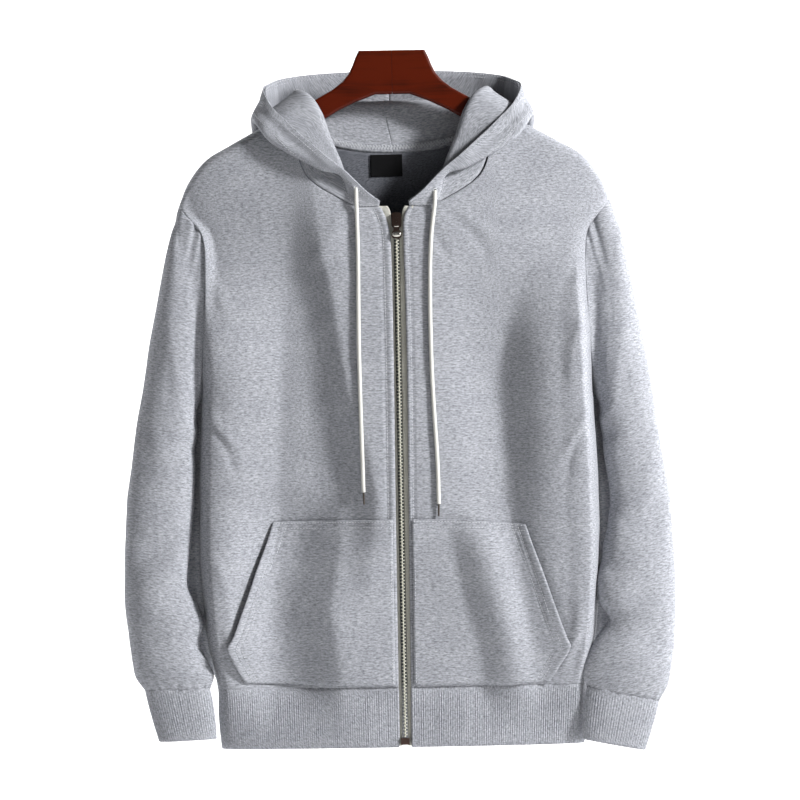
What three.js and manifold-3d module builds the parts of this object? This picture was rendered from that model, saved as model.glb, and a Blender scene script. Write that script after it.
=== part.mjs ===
// A zip-up hoodie of grey heather fleece, hanging on a flat wooden hanger.
// Millimetres, +Z up. The front faces -Y and the wearer's left is +X.
// The origin is the middle of the flat top of the hanger's neck.
// Tables give heights as drop, the distance below the origin, and x outwards from the middle.

import * as THREE from "three";
import { mergeVertices } from "three/addons/utils/BufferGeometryUtils.js";
import Module from "manifold-3d";

const wasm = await Module();
wasm.setup();

// Cloth thicknesses and the gap between sewn pieces
const FLEECE = 2.0;
const HOOD_LAYER = 1.2;
const HOOD_LAYER_GAP = 1.3;
const RIB_KNIT = 2.6;
const SEAM_GAP = 0.3;

// Heights of the main seams
const HEM_SEAM = 703;
const HEM_END = 769;
const NECK_FRONT_DROP = 173;
const UNDERARM_DROP = 383;
const RIB_ROWS = 3;
const SIDE_ROWS = 9;

// Rounding of the cloth over the hanger's arms, and how square the body's section is
const SHOULDER_ROUND = 10;
const BODY_SQUARENESS = 2.6;

// How soon a panel's inner points leave the curve of its side edges
const EDGE_HOLD = 3;

// The body's section by height: half width to the side, depths from the middle, and the depth
// that is left at the edge where the sleeve is set in
const BODY = [
  { drop: 40, half: 240, front: 14, back: 14, armhole: 0 },
  { drop: 80, half: 240, front: 17, back: 16, armhole: 0 },
  { drop: 113, half: 240, front: 24, back: 20, armhole: 0 },
  { drop: 173, half: 237, front: 32, back: 26, armhole: 4 },
  { drop: 191, half: 221, front: 33.5, back: 27, armhole: 11 },
  { drop: 204, half: 213, front: 34, back: 28, armhole: 14 },
  { drop: 225, half: 210, front: 35, back: 29, armhole: 17 },
  { drop: 260, half: 210.5, front: 36.5, back: 31, armhole: 20 },
  { drop: 300, half: 212.5, front: 38, back: 33, armhole: 21 },
  { drop: 340, half: 214, front: 39, back: 34, armhole: 16 },
  { drop: 383, half: 216, front: 40, back: 34.5, armhole: 0 },
  { drop: 440, half: 219, front: 40, back: 34, armhole: 0 },
  { drop: 506, half: 221.5, front: 39, back: 33, armhole: 0 },
  { drop: 560, half: 221.5, front: 38, back: 32, armhole: 0 },
  { drop: 605, half: 219.5, front: 36.5, back: 31, armhole: 0 },
  { drop: 655, half: 214, front: 34, back: 30, armhole: 0 },
  { drop: 703, half: 204.5, front: 30, back: 27, armhole: 0 },
  { drop: 736, half: 202.5, front: 28, back: 25, armhole: 0 },
  { drop: 769, half: 201, front: 27, back: 24, armhole: 0 },
];

// The neck seam from the front edge to the shoulder, then on to the middle of the back
const NECK_FRONT = [
  { x: 17, drop: 173 },
  { x: 34, drop: 173.5 },
  { x: 49, drop: 170 },
  { x: 68, drop: 160.5 },
  { x: 85, drop: 150 },
  { x: 98, drop: 137 },
  { x: 106, drop: 116 },
  { x: 110, drop: 92 },
  { x: 112, drop: 74 },
  { x: 113, drop: 64.9 },
];
const NECK_BACK = [
  { x: 112.5, drop: 69.5 },
  { x: 109, drop: 80 },
  { x: 97, drop: 92 },
  { x: 76, drop: 102 },
  { x: 51, drop: 108.5 },
  { x: 25, drop: 112 },
  { x: 0, drop: 113 },
];

// The shoulder seam outwards from the neck, and the armhole down from the shoulder's end
const SHOULDER = [
  { x: 113, drop: 64.9 },
  { x: 132, drop: 75.4 },
  { x: 157, drop: 89.2 },
  { x: 183, drop: 103.6 },
  { x: 209.5, drop: 120 },
  { x: 228, drop: 144 },
  { x: 239, drop: 170 },
];
const ARMHOLE = [
  { x: 239, drop: 170 },
  { x: 237, drop: 172.3 },
  { x: 234, drop: 175.3 },
  { x: 229, drop: 180.5 },
  { x: 221, drop: 191 },
  { x: 213, drop: 204 },
  { x: 210, drop: 225 },
  { x: 210.5, drop: 260 },
  { x: 212.5, drop: 300 },
  { x: 214, drop: 340 },
  { x: 216, drop: 383 },
];

// The folded front edges beside the zip; both open out at the neck
const FRONT_EDGE = {
  left: [
    { drop: 173, x: 16.5 },
    { drop: 187, x: 10.5 },
    { drop: 211, x: 10 },
    { drop: 330, x: 11.5 },
    { drop: 497, x: 10.8 },
    { drop: 769, x: 9.3 },
  ],
  right: [
    { drop: 173, x: 16 },
    { drop: 192, x: 8.3 },
    { drop: 211, x: 5.3 },
    { drop: 330, x: 4.2 },
    { drop: 497, x: 4.8 },
    { drop: 769, x: 5 },
  ],
};

// Soft folds of the panels: middle x, drops of both ends, lean of x over that run,
// half width across, and depth inwards (negative stands proud)
const FOLDS = {
  front_left: [
    { x: 150, from: 215, to: 520, lean: 16, width: 34, depth: 8 },
    { x: 196, from: 250, to: 640, lean: 2, width: 17, depth: -4 },
    { x: 84, from: 195, to: 430, lean: -14, width: 24, depth: 3 },
    { x: 88, from: 540, to: 725, lean: 34, width: 18, depth: 4 },
    { x: 118, from: 560, to: 735, lean: 34, width: 15, depth: -3.5 },
  ],
  front_right: [
    { x: 72, from: 190, to: 500, lean: 4, width: 26, depth: 6.5 },
    { x: 110, from: 230, to: 560, lean: 12, width: 24, depth: -3 },
    { x: 176, from: 240, to: 470, lean: 14, width: 20, depth: 3.5 },
    { x: 104, from: 530, to: 690, lean: 4, width: 30, depth: 5 },
  ],
  back: [
    { x: -120, from: 190, to: 520, lean: -26, width: 36, depth: 6 },
    { x: 132, from: 210, to: 560, lean: 22, width: 32, depth: 6.5 },
    { x: 46, from: 330, to: 690, lean: 14, width: 30, depth: 4 },
    { x: -60, from: 380, to: 700, lean: -10, width: 26, depth: 4.5 },
    { x: -182, from: 300, to: 640, lean: -4, width: 18, depth: -3 },
  ],
};

// Sleeve sections by their outer and inner edges, from the armhole down to the cuff;
// ahead is how far the section has swung forward, depth its half depth
const SLEEVE = {
  left: [
    { ox: 249, od: 200, ix: 219.5, id: 386, ahead: 0, depth: 24 },
    { ox: 256.5, od: 237, ix: 222, id: 392, ahead: 0, depth: 26 },
    { ox: 264.5, od: 277, ix: 223.5, id: 402, ahead: 1, depth: 26 },
    { ox: 272, od: 320, ix: 224, id: 418, ahead: 1, depth: 25 },
    { ox: 281, od: 368, ix: 225, id: 437, ahead: 2, depth: 24 },
    { ox: 288.7, od: 424, ix: 228, id: 462, ahead: 4, depth: 23 },
    { ox: 295.9, od: 474, ix: 232.5, id: 492, ahead: 8, depth: 22 },
    { ox: 300, od: 520, ix: 231, id: 525, ahead: 13, depth: 22 },
    { ox: 302, od: 556, ix: 222, id: 556, ahead: 20, depth: 23 },
    { ox: 302.5, od: 586, ix: 215, id: 587, ahead: 25, depth: 24 },
    { ox: 302, od: 612, ix: 217.5, id: 610, ahead: 25, depth: 23 },
    { ox: 301.5, od: 636, ix: 228.5, id: 632, ahead: 23, depth: 21 },
    { ox: 300, od: 660, ix: 213, id: 654, ahead: 25, depth: 22 },
    { ox: 297, od: 684, ix: 201, id: 676, ahead: 28, depth: 20 },
    { ox: 292, od: 706, ix: 198, id: 692, ahead: 28, depth: 17 },
    { ox: 282, od: 723.5, ix: 203, id: 705, ahead: 26, depth: 13.5 },
  ],
  right: [
    { ox: 247, od: 198, ix: 219.5, id: 386, ahead: 0, depth: 24 },
    { ox: 256, od: 234, ix: 222, id: 392, ahead: 0, depth: 26 },
    { ox: 264, od: 273, ix: 223, id: 402, ahead: 1, depth: 26 },
    { ox: 273, od: 318, ix: 223.5, id: 418, ahead: 1, depth: 25 },
    { ox: 281.5, od: 366, ix: 224, id: 440, ahead: 2, depth: 24 },
    { ox: 290.5, od: 412, ix: 225, id: 466, ahead: 3, depth: 23 },
    { ox: 297.5, od: 466, ix: 227, id: 498, ahead: 4, depth: 22 },
    { ox: 302.7, od: 518, ix: 230, id: 530, ahead: 6, depth: 22 },
    { ox: 305, od: 560, ix: 234, id: 562, ahead: 8, depth: 21 },
    { ox: 305.3, od: 592, ix: 234.5, id: 590, ahead: 10, depth: 22 },
    { ox: 304, od: 614, ix: 223, id: 611, ahead: 12, depth: 24 },
    { ox: 302, od: 634, ix: 218.4, id: 630, ahead: 13, depth: 23 },
    { ox: 300, od: 652, ix: 223, id: 650, ahead: 15, depth: 21 },
    { ox: 298.3, od: 670, ix: 214.7, id: 671, ahead: 16, depth: 21 },
    { ox: 294, od: 689, ix: 208, id: 688, ahead: 17, depth: 17 },
    { ox: 284, od: 702.5, ix: 212.5, id: 701, ahead: 17, depth: 13.5 },
  ],
};
const CUFF_END = {
  left: { ox: 266, od: 776.5, ix: 196.5, id: 763, ahead: 25, depth: 11.5 },
  right: { ox: 269.5, od: 759, ix: 205.5, id: 756.5, ahead: 17, depth: 11.5 },
};
const CUFF_ROWS = 3;

// The hood thrown back, a section for each point of the neck seam. From the seam it rises to a
// ridge (p), folds outwards and down to a gutter (g) and rises again to the rim (r).
// turn is the outward direction in degrees from +X, pw and gw are the widths of the two folds.
// Rows without a turn are flat bands from the seam to the rim.
const HOOD = [
  { rx: 16, ry: -33.5, rd: 168.5 },
  { rx: 30, ry: -36, rd: 158 },
  { rx: 42, ry: -37, rd: 146 },
  { turn: -80, px: 57.5, py: -27, pd: 131.5, pw: 5, gx: 60, gy: -34, gd: 138, gw: 5.5, rx: 56.5, ry: -39, rd: 132 },
  { turn: -76, px: 65, py: -22, pd: 110, pw: 6, gx: 76, gy: -35, gd: 133, gw: 6, rx: 73, ry: -41, rd: 119 },
  { turn: -68, px: 74, py: -18.5, pd: 87, pw: 7, gx: 94, gy: -34, gd: 124, gw: 8, rx: 89, ry: -39, rd: 105 },
  { turn: -56, px: 81, py: -16, pd: 68, pw: 7.5, gx: 115, gy: -32, gd: 113, gw: 10, rx: 106, ry: -34, rd: 90 },
  { turn: -38, px: 89, py: -13, pd: 54, pw: 8, gx: 131, gy: -30, gd: 103, gw: 10, rx: 119, ry: -27, rd: 77 },
  { turn: -22, px: 97, py: -8.5, pd: 46.5, pw: 8.5, gx: 140, gy: -26, gd: 92, gw: 10, rx: 130, ry: -20, rd: 66 },
  { turn: -5, px: 105, py: 1, pd: 43, pw: 9, gx: 148, gy: -10, gd: 79, gw: 9, rx: 137, ry: -8, rd: 55 },
  { turn: 12, px: 107, py: 11, pd: 44, pw: 9, gx: 151, gy: 8, gd: 79, gw: 9, rx: 141, ry: 5, rd: 45 },
  { turn: 27, px: 104, py: 17, pd: 48, pw: 9, gx: 149, gy: 23, gd: 98, gw: 10, rx: 141.5, ry: 17, rd: 38 },
  { turn: 45, px: 97, py: 22, pd: 52, pw: 9, gx: 140, gy: 36, gd: 135, gw: 11, rx: 138, ry: 28, rd: 34 },
  { turn: 65, px: 77, py: 26, pd: 54, pw: 9, gx: 113, gy: 47, gd: 205, gw: 12, rx: 123, ry: 46, rd: 26.5 },
  { turn: 78, px: 52, py: 27.5, pd: 55, pw: 9, gx: 79, gy: 52, gd: 255, gw: 13, rx: 91, ry: 57, rd: 21.5 },
  { turn: 86, px: 26, py: 28, pd: 56, pw: 9, gx: 40, gy: 54, gd: 282, gw: 14, rx: 50, ry: 62, rd: 19 },
  { turn: 90, px: 0, py: 28, pd: 56, pw: 9, gx: 0, gy: 55, gd: 290, gw: 14, rx: 0, ry: 64, rd: 18 },
];
const HOOD_STAND = 0.6;
const HOOD_STAND_STEEP = 2.8;
const HOOD_BELLY = 3;

// Patch pockets: their slanted mouths and lower corners, and how far they stand off
const POCKET_TOP = 519;
const POCKET_MOUTH = {
  left: [
    { x: 137, drop: 526 },
    { x: 145, drop: 550 },
    { x: 154, drop: 575 },
    { x: 162.5, drop: 600 },
    { x: 171, drop: 625 },
    { x: 180, drop: 650 },
    { x: 184, drop: 661 },
    { x: 173, drop: 681 },
    { x: 161, drop: 700 },
  ],
  right: [
    { x: 139, drop: 520 },
    { x: 147.5, drop: 545 },
    { x: 157, drop: 570 },
    { x: 166, drop: 596 },
    { x: 175.5, drop: 622 },
    { x: 184.5, drop: 646 },
    { x: 191, drop: 658 },
    { x: 183, drop: 677 },
    { x: 173, drop: 696 },
  ],
};
const POCKET_COLUMNS = 8;
const POCKET_INSET = 3.5;
const POCKET_CLEAR = 1.0;
const POCKET_FILL = { left: 9, right: 10 };

// The zip: chain of moulded teeth between two woven tapes, metal slider, pull tab and box
const ZIP_X = 2;
const CHAIN_WIDTH = 6.2;
const CHAIN_THICK = 3.0;
const TAPE_WIDTH = 12;
const TAPE_THICK = 0.9;
const TAPE_SET_BACK = 3.2;
const CHAIN_SET_BACK = 0.6;
const ZIP_STEP = 22;
const CHAIN_TOP = 197.4;
const CHAIN_END = 759;
const TAPE_END = 768;
const SLIDER = { top: 181, bottom: 197, width: 11, throat: 9.4, plate: 1.3, proud: 1.6, sunk: 4.6 };
const BRIDGE = { top: 182.5, bottom: 191.5, width: 1.8, reach: 4.6, bar: 1.2, leg: 1.4 };
const PULL = { axis: 186, thick: 1.4, eye: 7, slot: 3.6, neck: 5, length: 24, end: 11.4, endHeight: 8 };
const BOX = { width: 9.5, height: 7.5, thick: 5 };

// Drawcords hanging from the hood's channel: x and how far they stand off the front, by drop,
// and their crimped metal ends
const CORD_DIAMETER = 4.4;
const CORD_SIDES = 8;
const CORD_STEPS = 48;
const CORD = {
  left: [
    { x: 45.2, stand: 5.4, drop: 160.3 },
    { x: 44.9, stand: 3.4, drop: 167 },
    { x: 43.8, stand: 1.5, drop: 178 },
    { x: 40.6, stand: 0.8, drop: 202 },
    { x: 38.4, stand: 0.6, drop: 235 },
    { x: 37.5, stand: 0.5, drop: 278 },
    { x: 37.6, stand: 0.5, drop: 322 },
    { x: 38.4, stand: 0.5, drop: 366 },
    { x: 40.2, stand: 0.5, drop: 408 },
    { x: 42.2, stand: 0.6, drop: 446 },
    { x: 43, stand: 0.8, drop: 476 },
    { x: 43.2, stand: 0.9, drop: 502 },
  ],
  right: [
    { x: 41.6, stand: 7.3, drop: 156 },
    { x: 41.6, stand: 5, drop: 163 },
    { x: 41.4, stand: 1.8, drop: 177 },
    { x: 41, stand: 0.8, drop: 202 },
    { x: 40.8, stand: 0.7, drop: 234 },
    { x: 41.2, stand: 1, drop: 276 },
    { x: 41.5, stand: 1.2, drop: 322 },
    { x: 41.2, stand: 1, drop: 368 },
    { x: 40.6, stand: 0.6, drop: 408 },
    { x: 39.9, stand: 0.6, drop: 446 },
    { x: 39.6, stand: 0.7, drop: 468 },
    { x: 39.2, stand: 0.8, drop: 488 },
  ],
};
const TIP = { diameter: 2.2, length: 13, lean: 0.4 };

// The woven label inside the back neck
const LABEL = { x: -8, top: 114.5, width: 35, height: 24, thick: 0.7 };

// The back bellies out behind both side seams, so it shows in the gap beside each sleeve
const BACK_BELLY_START = 0.86;
const BACK_BELLY = [
  { drop: 383, spread: 0 },
  { drop: 420, spread: 3 },
  { drop: 460, spread: 8 },
  { drop: 500, spread: 13 },
  { drop: 560, spread: 16 },
  { drop: 630, spread: 13 },
  { drop: 670, spread: 6 },
  { drop: 703, spread: 0 },
];

// The hanger: flat wood in two halves that meet in the middle of the neck; its arms follow the
// shoulder seam, a wall and a little room below it
const HANGER = { thick: 12, bevel: 2.5, seat: 4.7 };
const HANGER_TOP = [
  { x: 36.5, drop: 0 },
  { x: 40.5, drop: 8 },
  { x: 43.5, drop: 16 },
  { x: 48, drop: 25.5 },
  { x: 55, drop: 34 },
  { x: 66, drop: 42.5 },
  { x: 84, drop: 52.6 },
];
const HANGER_ARM = [106, 128, 150, 173, 196];
const HANGER_UNDER = [
  { x: 204.5, drop: 122.5 },
  { x: 209.5, drop: 129.5 },
  { x: 209, drop: 136.5 },
  { x: 203.5, drop: 140.5 },
  { x: 195, drop: 139 },
  { x: 150, drop: 115.5 },
  { x: 106, drop: 91.6 },
  { x: 78.5, drop: 76.6 },
  { x: 61.5, drop: 66.6 },
  { x: 41, drop: 56.7 },
  { x: 19, drop: 48.4 },
  { x: 0, drop: 46.2 },
];

const COLOURS = {
  heather: 0xa9abb0,
  rib: 0xa2a4a9,
  inside: 0x8f9195,
  cord: 0xdeddd6,
  teeth: 0xcdcbbb,
  tape: 0xc4c3b8,
  metal: 0x8d8a86,
  tip: 0x56504c,
  label: 0x17181b,
  wood: 0x5c1d0c,
};

// The value of a column where another column is at a given place, smooth between the rows
function lookup(table, by, key, at) {
  const last = table.length - 1;
  if (at <= table[0][by]) return table[0][key];
  if (at >= table[last][by]) return table[last][key];
  const i = table.findIndex((row) => row[by] > at) - 1;
  const [a, b] = [table[i], table[i + 1]];
  const [before, after] = [table[Math.max(i - 1, 0)], table[Math.min(i + 2, last)]];
  const span = b[by] - a[by];
  const t = (at - a[by]) / span;
  const slopeIn = ((b[key] - before[key]) / (b[by] - before[by])) * span;
  const slopeOut = ((after[key] - a[key]) / (after[by] - a[by])) * span;
  const [t2, t3] = [t * t, t * t * t];
  return (
    a[key] * (2 * t3 - 3 * t2 + 1) + slopeIn * (t3 - 2 * t2 + t) +
    b[key] * (3 * t2 - 2 * t3) + slopeOut * (t3 - t2)
  );
}

// The drop of the shoulder seam above a point, carried on in a straight line over the neck
function shoulderDrop(x) {
  const [first, second] = SHOULDER;
  const slope = (second.drop - first.drop) / (second.x - first.x);
  return x < first.x ? first.drop - (first.x - x) * slope : lookup(SHOULDER, "x", "drop", x);
}

// How far the soft folds of a panel press it in at one point
function foldDepth(folds, x, drop) {
  let depth = 0;
  for (const fold of folds) {
    const t = (drop - fold.from) / (fold.to - fold.from);
    if (t <= 0 || t >= 1) continue;
    const across = (x - fold.x - fold.lean * t) / fold.width;
    depth += fold.depth * Math.sin(Math.PI * t) ** 1.5 * Math.exp(-across * across);
  }
  return depth;
}

// The y of the body's outer face, front (-1) or back (+1), at x and drop
function bodyY(face, x, drop, folds) {
  const half = lookup(BODY, "drop", "half", drop);
  const deep = lookup(BODY, "drop", face < 0 ? "front" : "back", drop);
  const edge = Math.max(lookup(BODY, "drop", "armhole", drop), 0);
  const across = Math.min(Math.abs(x) / half, 1);
  const section = (1 - across ** BODY_SQUARENESS) ** (1 / BODY_SQUARENESS);
  const below = Math.min(Math.max(drop - shoulderDrop(Math.abs(x)), 0) / SHOULDER_ROUND, 1);
  const over = Math.sqrt(1 - (1 - below) ** 2);
  const calm = Math.min(1, 6 * (1 - across));
  return face * ((edge + (deep - edge) * section) * over - foldDepth(folds, x, drop) * calm * over);
}

const frontY = (side, x, drop) => bodyY(-1, x, drop, FOLDS["front_" + side]);
const backY = (x, drop) => bodyY(1, x, drop, FOLDS.back);
const point = (x, y, drop) => new THREE.Vector3(x, y, -drop);

// Shares of a chain of table points' length, from 0 to 1
function shares(points) {
  const run = [0];
  for (let i = 1; i < points.length; i++) {
    const step = Math.hypot(points[i].x - points[i - 1].x, points[i].drop - points[i - 1].drop);
    run.push(run[i - 1] + step);
  }
  return run.map((length) => length / run[run.length - 1]);
}

// A grid of table points inside four edges, whose sides bow only the points near them; left and right run down, top and bottom run across
function patch(top, bottom, left, right) {
  const across = shares(top);
  const down = shares(left);
  const [topEnd, bottomEnd] = [top[top.length - 1], bottom[bottom.length - 1]];
  return down.map((r, i) =>
    across.map((s, j) => {
      const at = {};
      for (const key of ["x", "drop"]) {
        const leftBow = left[i][key] - (1 - r) * top[0][key] - r * bottom[0][key];
        const rightBow = right[i][key] - (1 - r) * topEnd[key] - r * bottomEnd[key];
        at[key] = (1 - r) * top[j][key] + r * bottom[j][key];
        at[key] += (1 - s) ** EDGE_HOLD * leftBow + s ** EDGE_HOLD * rightBow;
      }
      return at;
    }),
  );
}

// A closed mesh from points and faces, turned so that its faces point out
function closedMesh(points, faces) {
  let volume = 0;
  const normal = new THREE.Vector3();
  for (const [a, b, c] of faces) volume += points[a].dot(normal.crossVectors(points[b], points[c]));
  const geometry = new THREE.BufferGeometry().setFromPoints(points);
  return geometry.setIndex(faces.flatMap(([a, b, c]) => (volume < 0 ? [a, c, b] : [a, b, c])));
}

// The outward normal of a grid of points at row i, column j
function gridNormal(rows, i, j, wrap) {
  const [n, m] = [rows.length, rows[0].length];
  const left = wrap ? (j + m - 1) % m : Math.max(j - 1, 0);
  const right = wrap ? (j + 1) % m : Math.min(j + 1, m - 1);
  const along = rows[i][right].clone().sub(rows[i][left]);
  const down = rows[Math.min(i + 1, n - 1)][j].clone().sub(rows[Math.max(i - 1, 0)][j]);
  return down.cross(along).normalize();
}

// Cloth as a closed wall behind a grid of points on its outer face. The grid runs down in rows
// and anticlockwise seen from above in columns. square names the axis that a wall's edge is kept
// square to at row i, column j, back moves the outer face in, and trim draws each free edge back
// from its seam. turned splits the grid's cells along their other diagonal.
function wall(rows, thick, settings = {}) {
  const { wrap = false, square = () => "", back = 0, trim = SEAM_GAP / 2, turned = false } = settings;
  const [n, m] = [rows.length, rows[0].length];
  const toward = (from, to) => from.clone().add(to.clone().sub(from).setLength(trim));
  const cut = rows.map((row) => row.map((at) => at.clone()));
  for (let j = 0; j < m; j++) {
    cut[0][j] = toward(rows[0][j], rows[1][j]);
    cut[n - 1][j] = toward(rows[n - 1][j], rows[n - 2][j]);
  }
  if (!wrap) {
    for (const row of cut) {
      const [first, last] = [toward(row[0], row[1]), toward(row[m - 1], row[m - 2])];
      row[0] = first;
      row[m - 1] = last;
    }
  }
  const outer = [];
  const inner = [];
  cut.forEach((row, i) =>
    row.forEach((at, j) => {
      const out = gridNormal(cut, i, j, wrap);
      const axis = square(i, j);
      if (axis) out.setComponent("xyz".indexOf(axis), 0).normalize();
      outer.push(at.clone().addScaledVector(out, -back));
      inner.push(at.clone().addScaledVector(out, -back - thick));
    }),
  );
  const size = n * m;
  const columns = wrap ? m : m - 1;
  const faces = [];
  const quad = (a, b, c, d) => faces.push([a, b, c], [a, c, d]);
  for (let i = 0; i < n - 1; i++) {
    for (let j = 0; j < columns; j++) {
      const [a, b] = [i * m + j, i * m + ((j + 1) % m)];
      const [c, d, e, f] = turned ? [a + m, b + m, b, a] : [a, a + m, b + m, b];
      quad(c, d, e, f);
      quad(size + c, size + f, size + e, size + d);
    }
  }
  for (let j = 0; j < columns; j++) {
    const next = (j + 1) % m;
    const last = (n - 1) * m;
    quad(j, next, size + next, size + j);
    quad(last + next, last + j, size + last + j, size + last + next);
  }
  if (!wrap) {
    for (let i = 0; i < n - 1; i++) {
      const [a, b] = [i * m, i * m + m - 1];
      quad(a + m, a, size + a, size + a + m);
      quad(b, b + m, size + b + m, size + b);
    }
  }
  return closedMesh([...outer, ...inner], faces);
}

// The same geometry on the wearer's right, with its faces turned to match
function mirrored(geometry) {
  const copy = geometry.clone().applyMatrix4(new THREE.Matrix4().makeScale(-1, 1, 1));
  const index = copy.index.array;
  for (let i = 0; i < index.length; i += 3) {
    [index[i + 1], index[i + 2]] = [index[i + 2], index[i + 1]];
  }
  return copy;
}

// A manifold solid of a closed geometry, and the geometry of a manifold solid
function solidOf(geometry) {
  const bare = new THREE.BufferGeometry();
  bare.setAttribute("position", geometry.attributes.position);
  bare.setIndex(geometry.index);
  const merged = mergeVertices(bare, 1e-3);
  const triVerts = new Uint32Array(merged.index.array);
  const vertProperties = merged.attributes.position.array;
  return new wasm.Manifold(new wasm.Mesh({ numProp: 3, vertProperties, triVerts }));
}

function geometryOf(solid) {
  const { vertProperties, triVerts } = solid.getMesh();
  const geometry = new THREE.BufferGeometry();
  geometry.setAttribute("position", new THREE.BufferAttribute(vertProperties, 3));
  return geometry.setIndex(new THREE.BufferAttribute(triVerts, 1));
}

function box(width, depth, height, x, y, drop) {
  return new THREE.BoxGeometry(width, depth, height).translate(x, y, -drop);
}

const hoodie = new THREE.Group();
hoodie.name = "zip_up_hoodie_on_hanger";

function add(name, geometry, color, roughness = 0.95, metalness = 0) {
  const material = new THREE.MeshStandardMaterial({ color, roughness, metalness });
  const mesh = new THREE.Mesh(geometry, material);
  mesh.name = name;
  hoodie.add(mesh);
}

const SIDES = ["left", "right"];
const placed = (side, geometry) => (side === "left" ? geometry : mirrored(geometry));

// Heights of the panel's rows: level with the armhole's first, then even down to the hem
const rowShares = shares(ARMHOLE);
const PANEL_DROPS = [
  ...rowShares.map((share) => NECK_FRONT_DROP + share * (UNDERARM_DROP - NECK_FRONT_DROP)),
  ...Array.from({ length: SIDE_ROWS }, (_, i) =>
    UNDERARM_DROP + ((i + 1) / SIDE_ROWS) * (HEM_SEAM - UNDERARM_DROP)),
];
const SIDE_EDGE = [
  ...ARMHOLE,
  ...PANEL_DROPS.slice(ARMHOLE.length).map((drop) => ({ x: lookup(BODY, "drop", "half", drop), drop })),
];

// Points across the hem from one x to another, closer together towards the side
function hemPoints(from, count, drop) {
  const half = lookup(BODY, "drop", "half", drop);
  return Array.from({ length: count }, (_, j) => {
    const share = 1 - (1 - j / (count - 1)) ** 1.5;
    return { x: from + (half - from) * share, drop };
  });
}

function frontGrid(side) {
  const top = [...NECK_FRONT, ...SHOULDER.slice(1)];
  const edge = PANEL_DROPS.map((drop) => ({ x: lookup(FRONT_EDGE[side], "drop", "x", drop), drop }));
  edge[0] = top[0];
  const bottom = hemPoints(edge[edge.length - 1].x, top.length, HEM_SEAM);
  return patch(top, bottom, edge, SIDE_EDGE);
}

// A panel's wall is square to Y along the shoulder and side seams and to Z along the hem
function panelSquare(neckEnd, rows, isBack = false) {
  const [hem, side] = [rows.length - 1, rows[0].length - 1];
  const underarm = ARMHOLE.length - 1;
  const onShoulder = (j) => (isBack ? Math.abs(j - side / 2) >= neckEnd : j >= neckEnd);
  const onSide = (j) => j === side || (isBack && j === 0);
  return (i, j) => {
    if (i === 0 && onShoulder(j)) return "y";
    if (i >= underarm && onSide(j)) return "y";
    return i === hem ? "z" : "";
  };
}

function buildFronts() {
  for (const side of SIDES) {
    const rows = frontGrid(side).map((row) =>
      row.map(({ x, drop }) => point(x, frontY(side, x, drop), drop)),
    );
    const square = panelSquare(NECK_FRONT.length - 1, rows);
    add("front_" + side, placed(side, wall(rows, FLEECE, { square })), COLOURS.heather);
  }
}

// One half of the back, from the middle out; both halves are one piece
function backHalf() {
  const top = [...NECK_BACK].reverse().concat(SHOULDER);
  const middleTop = top[0].drop;
  const middle = PANEL_DROPS.map((drop, i) => {
    const share = (drop - NECK_FRONT_DROP) / (HEM_SEAM - NECK_FRONT_DROP);
    return { x: 0, drop: i ? middleTop + share * (HEM_SEAM - middleTop) : middleTop };
  });
  return patch(top, hemPoints(0, top.length, HEM_SEAM), middle, SIDE_EDGE);
}

// How far the back bellies out sideways behind the side seam
function backSpread(x, drop) {
  const across = Math.min(1, Math.abs(x) / lookup(BODY, "drop", "half", drop));
  const t = Math.max(0, (across - BACK_BELLY_START) / (1 - BACK_BELLY_START));
  return Math.sign(x) * lookup(BACK_BELLY, "drop", "spread", drop) * Math.sin(Math.PI * t ** 3.1);
}

function buildBack() {
  const rows = backHalf().map((row) => {
    const otherSide = row.slice(1).reverse().map(({ x, drop }) => ({ x: -x, drop }));
    const whole = [...otherSide, ...row].reverse();
    return whole.map(({ x, drop }) => point(x + backSpread(x, drop), backY(x, drop), drop));
  });
  const square = panelSquare(NECK_BACK.length, rows, true);
  add("back", wall(rows, FLEECE, { square }), COLOURS.heather);
}

// A flattened ring between an outer and an inner edge, front half first
function sleeveRing({ ox, od, ix, id, ahead, depth }) {
  const count = 2 * (ARMHOLE.length - 1);
  return Array.from({ length: count }, (_, j) => {
    const angle = (2 * Math.PI * j) / count;
    const share = (1 - Math.cos(angle)) / 2;
    const swell = Math.sign(Math.sin(angle)) * Math.abs(Math.sin(angle)) ** 0.85;
    return point(ox + (ix - ox) * share, -ahead - depth * swell, od + (id - od) * share);
  });
}

function armholeRing(side) {
  const front = ARMHOLE.map(({ x, drop }) => point(x, frontY(side, x, drop), drop));
  const sign = side === "left" ? 1 : -1;
  const back = ARMHOLE.slice(1, -1).map(({ x, drop }) => point(x, backY(sign * x, drop), drop));
  return [...front, ...back.reverse()];
}

function buildSleeves() {
  for (const side of SIDES) {
    const sections = SLEEVE[side];
    const rows = [armholeRing(side), ...sections.map(sleeveRing)].map((ring) => ring.reverse());
    add("sleeve_" + side, placed(side, wall(rows, FLEECE, { wrap: true })), COLOURS.heather);
    const from = sections[sections.length - 1];
    const to = CUFF_END[side];
    const cuff = Array.from({ length: CUFF_ROWS + 1 }, (_, i) => {
      const section = {};
      for (const key of Object.keys(to)) section[key] = from[key] + ((to[key] - from[key]) * i) / CUFF_ROWS;
      return sleeveRing(section).reverse();
    });
    add("cuff_" + side, placed(side, wall(cuff, RIB_KNIT, { wrap: true })), COLOURS.rib);
  }
}

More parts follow.
